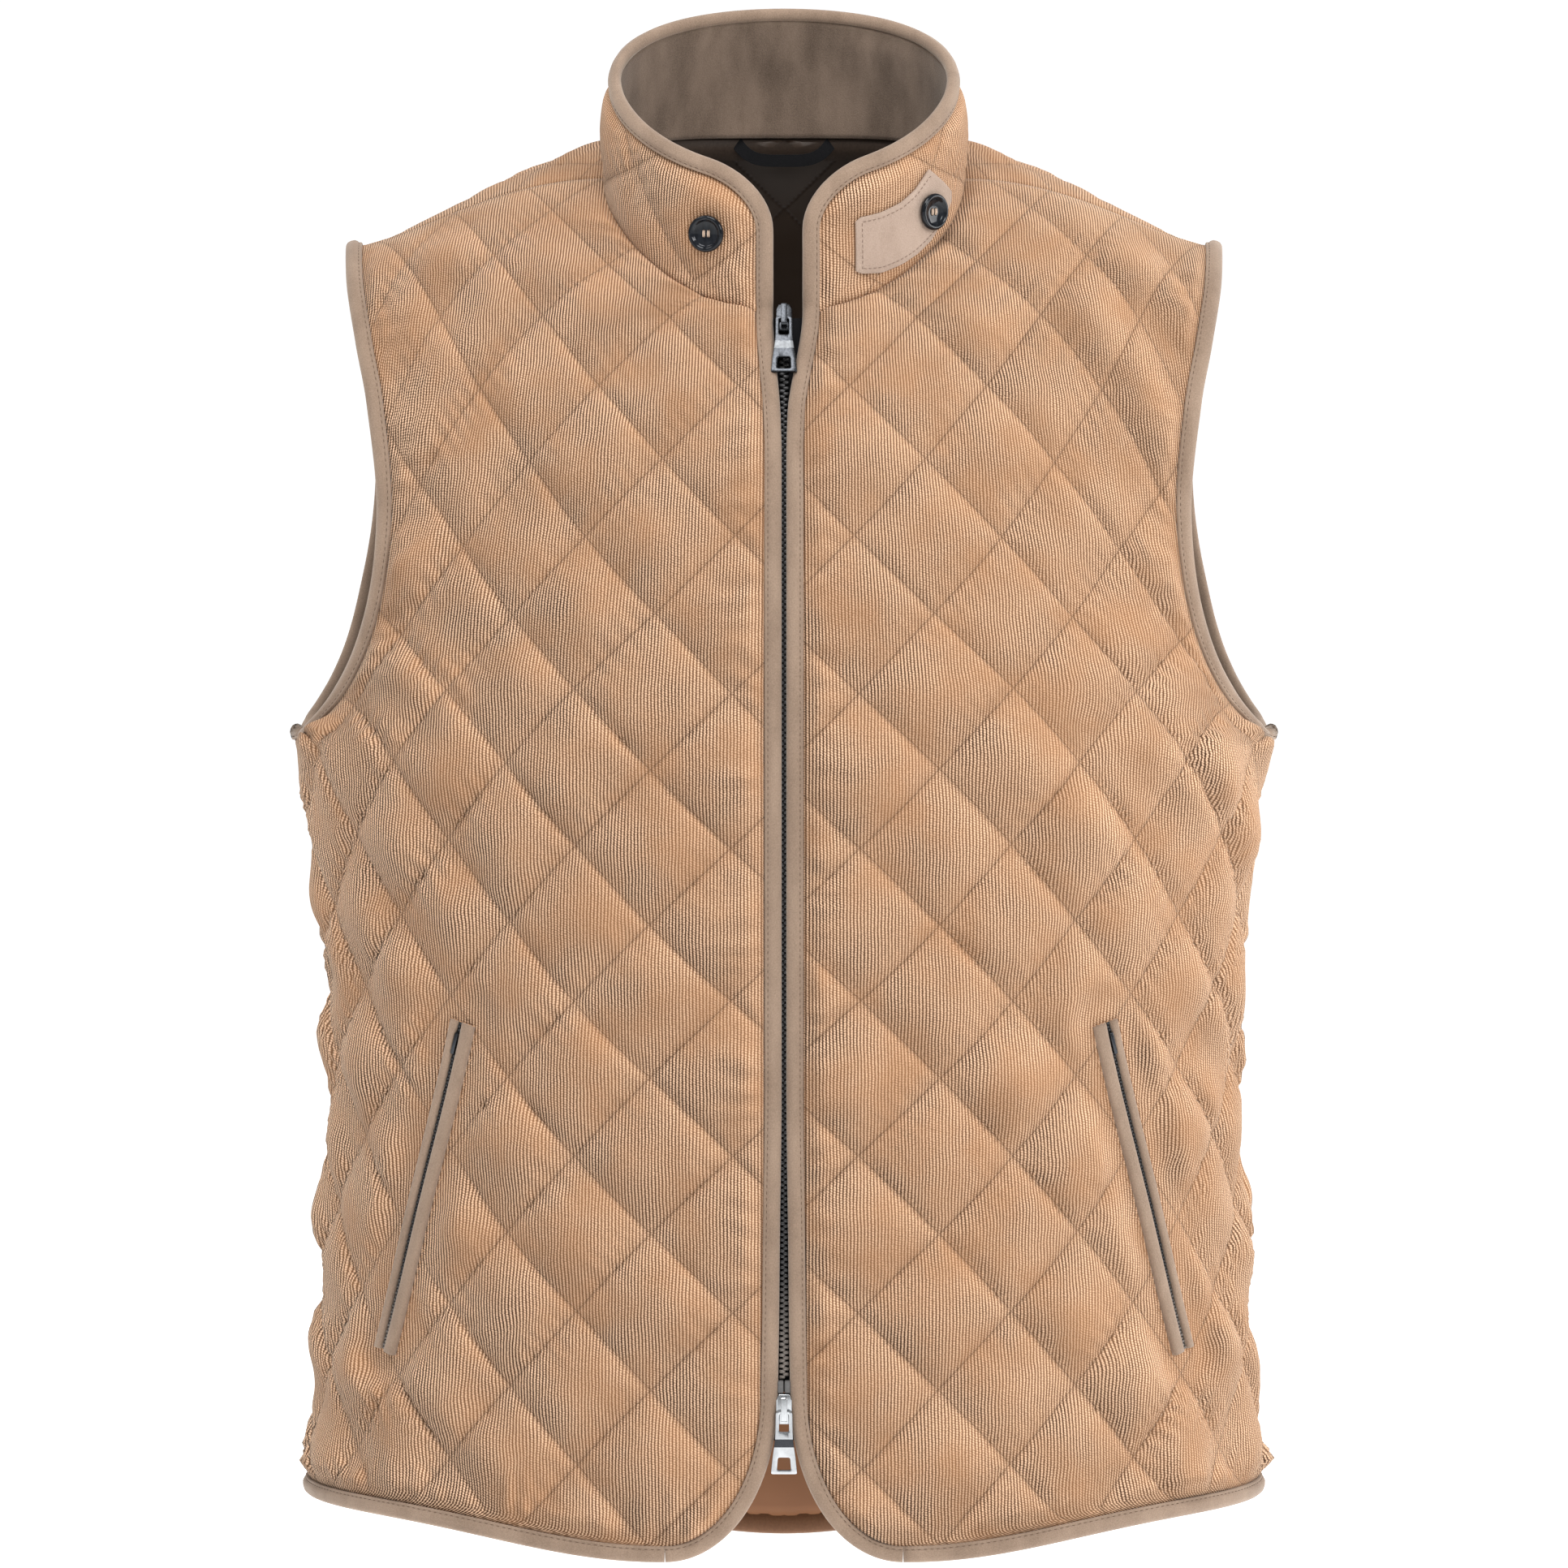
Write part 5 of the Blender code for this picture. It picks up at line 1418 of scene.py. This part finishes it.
def drilled(blank, drills):
    """The mesh of a blank after a Boolean has taken the drills out of it."""
    things = []
    for name, bm in (("blank", blank), ("drills", drills)):
        mesh = bpy.data.meshes.new(name)
        bm.to_mesh(mesh)
        bm.free()
        things.append(bpy.data.objects.new(name, mesh))
        bpy.context.scene.collection.objects.link(things[-1])
    cut = things[0].modifiers.new("holes", "BOOLEAN")
    cut.object, cut.operation, cut.solver = things[1], "DIFFERENCE", "EXACT"
    cut_blank = things[0].evaluated_get(bpy.context.evaluated_depsgraph_get())
    result = bmesh.new()
    result.from_mesh(cut_blank.to_mesh())
    cut_blank.to_mesh_clear()
    for thing in things:
        bpy.data.objects.remove(thing, do_unlink=True)
    return result


def make_button(word, angle_degrees, share):
    angle = math.radians(angle_degrees)
    normal = collar_normal(angle, share)
    place = standing_frame(collar_point(angle, share) + normal * BUTTON_LIFT[word], normal)
    blank = bmesh.new()
    verts = [blank.verts.new((radius, 0, height)) for radius, height in BUTTON_PROFILE]
    edges = [blank.edges.new(pair) for pair in zip(verts, verts[1:])]
    bmesh.ops.spin(blank, geom=verts + edges, cent=(0, 0, 0), axis=(0, 0, 1), angle=FULL_TURN,
                   steps=BUTTON_STEPS, use_merge=True)
    bmesh.ops.remove_doubles(blank, verts=blank.verts[:], dist=1e-6)
    bmesh.ops.recalc_face_normals(blank, faces=blank.faces[:])
    drills, threads = bmesh.new(), bmesh.new()
    for sx in (-1, 1):
        for sy in (-1, 1):
            spot = Matrix.Translation((sx * HOLE_ASIDE, sy * HOLE_ASIDE, HOLE_MIDDLE))
            bmesh.ops.create_cone(drills, cap_ends=True, segments=16, radius1=HOLE_RADIUS,
                                  radius2=HOLE_RADIUS, depth=HOLE_DEPTH, matrix=spot)
    for aside in (-1, 1):
        for strand in (-STRAND_ASIDE, STRAND_ASIDE):
            spot = Matrix.Translation((aside * HOLE_ASIDE + strand, 0, STRAND_HEIGHT))
            bmesh.ops.create_icosphere(threads, subdivisions=2, radius=1.0,
                                       matrix=spot @ Matrix.Diagonal(THREAD_BAR))
    button = drilled(blank, drills)
    button.transform(place)
    threads.transform(place)
    add_piece(word + "_horn_button", button, horn, [word + "_button"], sharp_from=40)
    add_piece(word + "_button_thread", threads, cream_thread)
    print(word, "button at", [round(x, 3) for x in place.translation])


make_button("collar", *COLLAR_BUTTON)
make_button("tab", *TAB_BUTTON)

# %% [markdown]
# ## Zip
# The zip has two woven tapes and a chain of moulded teeth that hook in from left and right in turn. Every
# tooth is a cube on the front's own frame, and one bevel at the end rounds them all. Under the lower
# slider's path two end pieces, the pin and its box, close the chain.

# %% Make the tapes and the teeth
TAPE_INNER, TAPE_OUTER, TAPE_TOP, TAPE_THICKNESS = 0.0024, 0.0140, -0.0049, 0.0008
ZIP_TOP_Z, ZIP_FOOT_Z = -0.073, -0.619
TOP_SLIDER_Z, BOTTOM_SLIDER_Z, ZIP_BOX_Z = -0.0750, -0.6028, -0.5921
ZIP_BOX_SIZE = (0.0064, 0.0060, 0.0045)
SLIDER_HALF_HEIGHT, SLIDER_BACK, SLIDER_FACE = 0.0074, -0.0046, 0.0006
TOOTH_PITCH = 0.0027
TOOTH_SIZE = (0.0030, 0.0017, 0.0027)
TOOTH_ASIDE, TOOTH_LEVEL = 0.0009, -0.0049
TOOTH_ROUNDING = 0.0004
CORE_TOP, CORE_FOOT = -0.0056, -0.0064
HALF_BOX_WIDTH, HALF_BOX_ASIDE, BOX_EDGE = 0.0029, 0.0017, 0.0006
centre_stations = np.linspace(FRONT_HEM, FRONT_NECK, 400)
centre_heights = [front_centre_yz(s)[1] for s in centre_stations]


def front_centre_frame(z):
    """The frame of the closed front at a height: x across, y up along the front, z out of it."""
    station = float(np.interp(z, centre_heights, centre_stations))
    step = 0.05
    low = Vector((0, *front_centre_yz(station - step)))
    high = Vector((0, *front_centre_yz(min(station + step, FRONT_NECK))))
    up = (high - low).normalized()
    frame = Matrix(((1, 0, 0), up, Vector((1, 0, 0)).cross(up))).transposed().to_4x4()
    frame.translation = Vector((0, *front_centre_yz(station)))
    return frame


def front_frames(top_z, foot_z, count):
    frames = [front_centre_frame(z) for z in np.linspace(foot_z, top_z, count)]
    return [EdgeFrame(f.translation.copy(), Vector((1, 0, 0)), f.col[2].to_3d()) for f in frames]


def box(bm, size, matrix):
    return bmesh.ops.create_cube(bm, size=1.0, matrix=matrix @ Matrix.Diagonal((*size, 1)))


def round_off(bm, edges, offset, segments=2):
    bmesh.ops.bevel(bm, geom=edges, offset=offset, offset_type="OFFSET", affect="EDGES", segments=segments,
                    profile=0.5, material=-1)


TAPE_FOOT = TAPE_TOP - TAPE_THICKNESS
for word, side in SIDES.items():
    outline = [(side * x, up) for x, up in ((TAPE_INNER, TAPE_TOP), (TAPE_OUTER, TAPE_TOP),
                                            (TAPE_OUTER, TAPE_FOOT), (TAPE_INNER, TAPE_FOOT))]
    bm = bmesh.new()
    sweep(bm, front_frames(ZIP_TOP_Z, ZIP_FOOT_Z, 120), outline)
    add_piece("tape_" + word, bm, woven_tape, ["zip_tape_" + word], sharp_from=40)

bm = bmesh.new()
chain_top = TOP_SLIDER_Z - SLIDER_HALF_HEIGHT
chain_foot = ZIP_BOX_Z + ZIP_BOX_SIZE[1] / 2
for i, z in enumerate(np.arange(chain_foot + TOOTH_PITCH / 2, chain_top, TOOTH_PITCH / 2)):
    side = 1 if i % 2 else -1
    box(bm, TOOTH_SIZE, front_centre_frame(z) @ Matrix.Translation((side * TOOTH_ASIDE, 0, TOOTH_LEVEL)))
round_off(bm, bm.edges[:], TOOTH_ROUNDING, 1)
core = bmesh.new()
core_outline = [(-TAPE_INNER, CORE_TOP), (TAPE_INNER, CORE_TOP),
                (TAPE_INNER, CORE_FOOT), (-TAPE_INNER, CORE_FOOT)]
sweep(core, front_frames(chain_top, BOTTOM_SLIDER_Z + SLIDER_HALF_HEIGHT, 120), core_outline)
add_piece("teeth_core", core, woven_tape, sharp_from=40)
add_piece("teeth", bm, tooth_plastic, ["zip_chain"], sharp_from=50)

bm = bmesh.new()
half_box = (HALF_BOX_WIDTH, ZIP_BOX_SIZE[1], ZIP_BOX_SIZE[2])
for side in SIDES.values():
    aside = Matrix.Translation((side * HALF_BOX_ASIDE, 0, SLIDER_BACK + ZIP_BOX_SIZE[2] / 2))
    box(bm, half_box, front_centre_frame(ZIP_BOX_Z) @ aside)
round_off(bm, bm.edges[:], BOX_EDGE)
add_piece("pin_and_box", bm, end_plastic, ["zip_box"], sharp_from=50)
print("teeth:", i + 1)

# %% [markdown]
# ## Sliders
# A slider is a small die-cast body with a bar over its face, the bridge, that holds the pull tab's ring.
# The body is a flat outline pushed out and bevelled; the bridge is a staple seen from the side, pushed out
# across.

# %% Cast the sliders
SLIDER_OUTLINE = ((-0.0028, -0.0074), (0.0028, -0.0074), (0.0040, -0.0036), (0.0040, 0.0046),
                  (0.0028, 0.0074), (-0.0028, 0.0074), (-0.0040, 0.0046), (-0.0040, -0.0036))
BRIDGE_SIDE = ((-0.0058, 0.0000), (-0.0058, 0.0034), (-0.0050, 0.0042), (0.0056, 0.0042), (0.0064, 0.0034),
               (0.0064, 0.0000), (0.0050, 0.0000), (0.0050, 0.0031), (-0.0044, 0.0031), (-0.0044, 0.0000))
BRIDGE_HALF_WIDTH = 0.0015
SLIDER_EDGE, BRIDGE_EDGE = 0.0006, 0.0003


def push_out(bm, outline, way):
    """A face through the outline's points, pushed out into a solid."""
    face = bm.faces.new([bm.verts.new(point) for point in outline])
    made = bmesh.ops.extrude_face_region(bm, geom=[face], use_keep_orig=True)
    pushed = [part for part in made["geom"] if isinstance(part, bmesh.types.BMVert)]
    bmesh.ops.translate(bm, verts=pushed, vec=way)
    return face


def make_slider(word, z, material):
    slider_frame = front_centre_frame(z)
    bm = bmesh.new()
    push_out(bm, [(x, y, SLIDER_BACK) for x, y in SLIDER_OUTLINE], (0, 0, SLIDER_FACE - SLIDER_BACK))
    bmesh.ops.recalc_face_normals(bm, faces=bm.faces[:])
    round_off(bm, bm.edges[:], SLIDER_EDGE, 3)
    bridge = bmesh.new()
    push_out(bridge, [(-BRIDGE_HALF_WIDTH, y, out) for y, out in BRIDGE_SIDE], (2 * BRIDGE_HALF_WIDTH, 0, 0))
    bmesh.ops.recalc_face_normals(bridge, faces=bridge.faces[:])
    round_off(bridge, bridge.edges[:], BRIDGE_EDGE)
    for part, name, nodes in ((bm, "_slider_body", [word + "_slider"]), (bridge, "_slider_bridge", ())):
        part.transform(slider_frame)
        add_piece(word + name, part, material, nodes, sharp_from=35)
    return slider_frame


top_slider_frame = make_slider("top", TOP_SLIDER_Z, gunmetal)
bottom_slider_frame = make_slider("bottom", BOTTOM_SLIDER_Z, bright_metal)
print("sliders at", TOP_SLIDER_Z, BOTTOM_SLIDER_Z)

# %% [markdown]
# ## Pull tabs
# The pull is a plate with two windows: a grid of three columns, the window faces deleted, the rest
# thickened. Its middle is a slightly slanted facet in another metal: a pale one on the dark top pull, a
# painted highlight, and dark gunmetal on the bright bottom pull, a painted shade. Each pull rides on its
# own body, so it can swing.

# %% Cast the pull tabs
PullRow = namedtuple("PullRow", "drop half_width window lift")
PULL_ROWS = (
    PullRow(-0.0008, 0.0037, 0.0023, 0.0),
    PullRow(0.0008, 0.0041, 0.0023, 0.0),
    PullRow(0.0096, 0.0042, 0.0024, 0.0),
    PullRow(0.0132, 0.0044, 0.0025, 0.0002),
    PullRow(0.0172, 0.0049, 0.0027, 0.0),
    PullRow(0.0222, 0.0056, 0.0030, 0.0),
    PullRow(0.0284, 0.0062, 0.0034, 0.0),
    PullRow(0.0304, 0.0064, 0.0034, 0.0),
)
PULL_WINDOW_ROWS = (1, 5)
PULL_BAND_ROW = 3
PULL_MIDDLE = 0.001
PULL_THICKNESS = 0.0016
PULL_AXIS_UP, PULL_AXIS_OUT = -0.0012, 0.0019
PULL_CORNER, PULL_EDGE = 0.0009, 0.00032


def pull_row_of(face):
    """Which row of the pull a face lies in."""
    drop = -face.calc_center_median().y
    return sum(drop > row.drop for row in PULL_ROWS) - 1


def make_pull(word, slider_frame, plate, band):
    bm = bmesh.new()
    rows = len(PULL_ROWS) - 1
    made = bmesh.ops.create_grid(bm, x_segments=3, y_segments=rows, size=0.5)
    for vert in made["verts"]:
        row = PULL_ROWS[round((0.5 - vert.co.y) * rows)]
        x = (-row.half_width, -row.window, row.window, row.half_width)[round((vert.co.x + 0.5) * 3)]
        vert.co = (x, -row.drop, row.lift + PULL_THICKNESS / 2)
    middles = [face for face in bm.faces if abs(face.calc_center_median().x) < PULL_MIDDLE]
    windows = [face for face in middles if pull_row_of(face) in PULL_WINDOW_ROWS]
    bmesh.ops.delete(bm, geom=windows, context="FACES")
    for face in bm.faces:
        face.material_index = int(pull_row_of(face) == PULL_BAND_ROW)
    bmesh.ops.solidify(bm, geom=bm.faces[:], thickness=PULL_THICKNESS)
    bmesh.ops.recalc_face_normals(bm, faces=bm.faces[:])
    through = [e for e in bm.edges if abs((e.verts[0].co - e.verts[1].co).z) > PULL_THICKNESS / 2]
    corners = [e for e in through if e.calc_face_angle(0) > math.radians(40)]
    round_off(bm, corners, PULL_CORNER, 3)
    rims = [e for e in bm.edges if e.calc_face_angle(0) > math.radians(60)]
    round_off(bm, rims, PULL_EDGE)
    bm.transform(slider_frame @ Matrix.Translation((0, PULL_AXIS_UP, PULL_AXIS_OUT)))
    pull = add_piece(word + "_pull_plate", bm, plate, [word + "_pull"], word + "_pull_tab", 25)
    pull.data.materials.append(band)
    return pull


make_pull("top", top_slider_frame, gunmetal, painted_highlight_metal)
# the bottom pull's middle facet is gunmetal: a painted shade on the bright pull
make_pull("bottom", bottom_slider_frame, bright_metal, gunmetal)
print("pull tabs:", len(PULL_ROWS) - 1, "rows of faces each")

# %% [markdown]
# ## Pockets
# Each pocket opens between two suede welts: small rolls of doubled suede. A dark zip shows in the gap, with
# a little slider at its top end. The welts are swept along the pocket line with a rounded outline, the zip
# as a flat strip with tiny teeth, and a row of tan thread goes round it all.

# %% Make the pockets
WELT_FOOT, WELT_TOP = -0.0008, 0.0029
POCKET_GAP = 0.0020
FRONT_WELT, SIDE_WELT = 0.0070, 0.0045
POCKET_SEW_OUT = 0.0014
POCKET_TOOTH_PITCH = 0.0017
POCKET_SLIDER_SIZE = (0.0019, 0.0110, 0.0014)
POCKET_SLIDER_AT, POCKET_SLIDER_UP, POCKET_SLIDER_EDGE = 0.06, 0.0021, 0.0004
POCKET_TAPE_FOOT, POCKET_TAPE_TOP = -0.0006, 0.0002
POCKET_TOOTH_SIZE, POCKET_TOOTH_ASIDE, POCKET_TOOTH_UP = (0.0015, 0.0011, 0.0010), 0.0004, 0.0003
BAR_PAST, BAR_UP, BAR_POINTS, BAR_PITCH = 0.0005, 0.0004, 12, 0.0025
BAR_STITCH, POCKET_SEW_UP = (0.0012, 0.0003, 0.0003), 0.0001
ROLL_STEPS = 12


def roll(left, right, foot, top):
    """A rounded outline between two places, flat below."""
    middle, half = (left + right) / 2, (right - left) / 2
    bows = [math.pi * i / ROLL_STEPS for i in range(ROLL_STEPS + 1)]
    return [(middle - half * math.copysign(abs(math.cos(b)) ** 0.7, math.cos(b)),
             foot + (top - foot) * math.sin(b) ** 0.55) for b in bows]


half_gap = POCKET_GAP / 2
for word, side in SIDES.items():
    frames = pocket_lines[side]
    welts = (("front", -half_gap - FRONT_WELT, -half_gap), ("side", half_gap, half_gap + SIDE_WELT))
    for place, left, right in welts:
        outline = roll(left, right, WELT_FOOT, WELT_TOP)
        node_name = "pocket_welt_" + place + "_" + word
        add_strip("welt_" + place + "_" + word, frames, outline, suede, [node_name])
    zip_outline = [(-half_gap, POCKET_TAPE_FOOT), (-half_gap, POCKET_TAPE_TOP),
                   (half_gap, POCKET_TAPE_TOP), (half_gap, POCKET_TAPE_FOOT)]
    add_strip("pocket_tape_" + word, frames, zip_outline, woven_tape, ["pocket_zip_" + word])
    teeth, ends = bmesh.new(), bmesh.new()
    middle_line = shifted(frames, 0, POCKET_TOOTH_UP)
    for i, (middle, along, share) in enumerate(walk(middle_line, POCKET_TOOTH_PITCH)):
        normal = frames[round(share * POCKET_STEPS)].normal
        matrix = Matrix((along.cross(normal), along, normal)).transposed().to_4x4()
        matrix.translation = middle
        aside = POCKET_TOOTH_ASIDE * (1 if i % 2 else -1)
        box(teeth, POCKET_TOOTH_SIZE, matrix @ Matrix.Translation((aside, 0, 0)))
    add_piece("pocket_teeth_" + word, teeth, tooth_plastic, sharp_from=30)
    at = frames[round(POCKET_SLIDER_AT * POCKET_STEPS)]
    along = (frames[0].point - frames[-1].point).normalized()
    matrix = Matrix((along.cross(at.normal), along, at.normal)).transposed().to_4x4()
    matrix.translation = at.point + at.normal * POCKET_SLIDER_UP
    slider = bmesh.new()
    box(slider, POCKET_SLIDER_SIZE, matrix)
    round_off(slider, slider.edges[:], POCKET_SLIDER_EDGE)
    add_piece("pocket_pull_" + word, slider, gunmetal, ["pocket_slider_" + word], sharp_from=35)
    front_side, seam_side = -half_gap - FRONT_WELT, half_gap + SIDE_WELT
    for spot in (frames[0], frames[-1]):
        bar = [spot.point + spot.outward * x + spot.normal * BAR_UP
               for x in np.linspace(front_side - BAR_PAST, seam_side + BAR_PAST, BAR_POINTS)]
        sew(ends, bar, [spot.normal] * BAR_POINTS, BAR_PITCH, BAR_STITCH)
    for out in (front_side - POCKET_SEW_OUT, seam_side + POCKET_SEW_OUT):
        sew(ends, shifted(frames, out, POCKET_SEW_UP), [f.normal for f in frames])
    bmesh.ops.recalc_face_normals(ends, faces=ends.faces[:])
    add_piece("pocket_ends_" + word, ends, tan_thread)
print("pockets:", len(SIDES))

# %% [markdown]
# ## Hanger loop
# A short black tape is sewn into the back of the neck to hang the gilet up. It is a thin band swept along a
# hanging curve.

# %% Sew in the hanger loop
LOOP_HALF_SPAN, LOOP_SAG, LOOP_BOW = 0.026, 0.0135, 0.0050
LOOP_DEPTH, LOOP_Z = 0.0590, 0.0078
LOOP_BAND, LOOP_THICKNESS = 0.0060, 0.0012
loop_frames = []
for t in np.linspace(-1, 1, 49):
    fall = 1 - t ** 4
    slope = math.atan2(4 * LOOP_SAG * t ** 3, LOOP_HALF_SPAN)
    point = Vector((LOOP_HALF_SPAN * t, LOOP_DEPTH - LOOP_BOW * fall, LOOP_Z - LOOP_SAG * fall))
    loop_frames.append(EdgeFrame(point, Vector((-math.sin(slope), 0, math.cos(slope))), Vector((0, -1, 0))))
band, skin = LOOP_BAND / 2, LOOP_THICKNESS / 2
loop_outline = [(-band, -skin), (-band, skin), (band, skin), (band, -skin)]
loop = add_strip("hanging_loop", loop_frames, loop_outline, woven_tape, ["hanger_loop"])
loop.data.set_sharp_from_angle(angle=math.radians(40))
print("loop:", len(loop_frames), "frames")
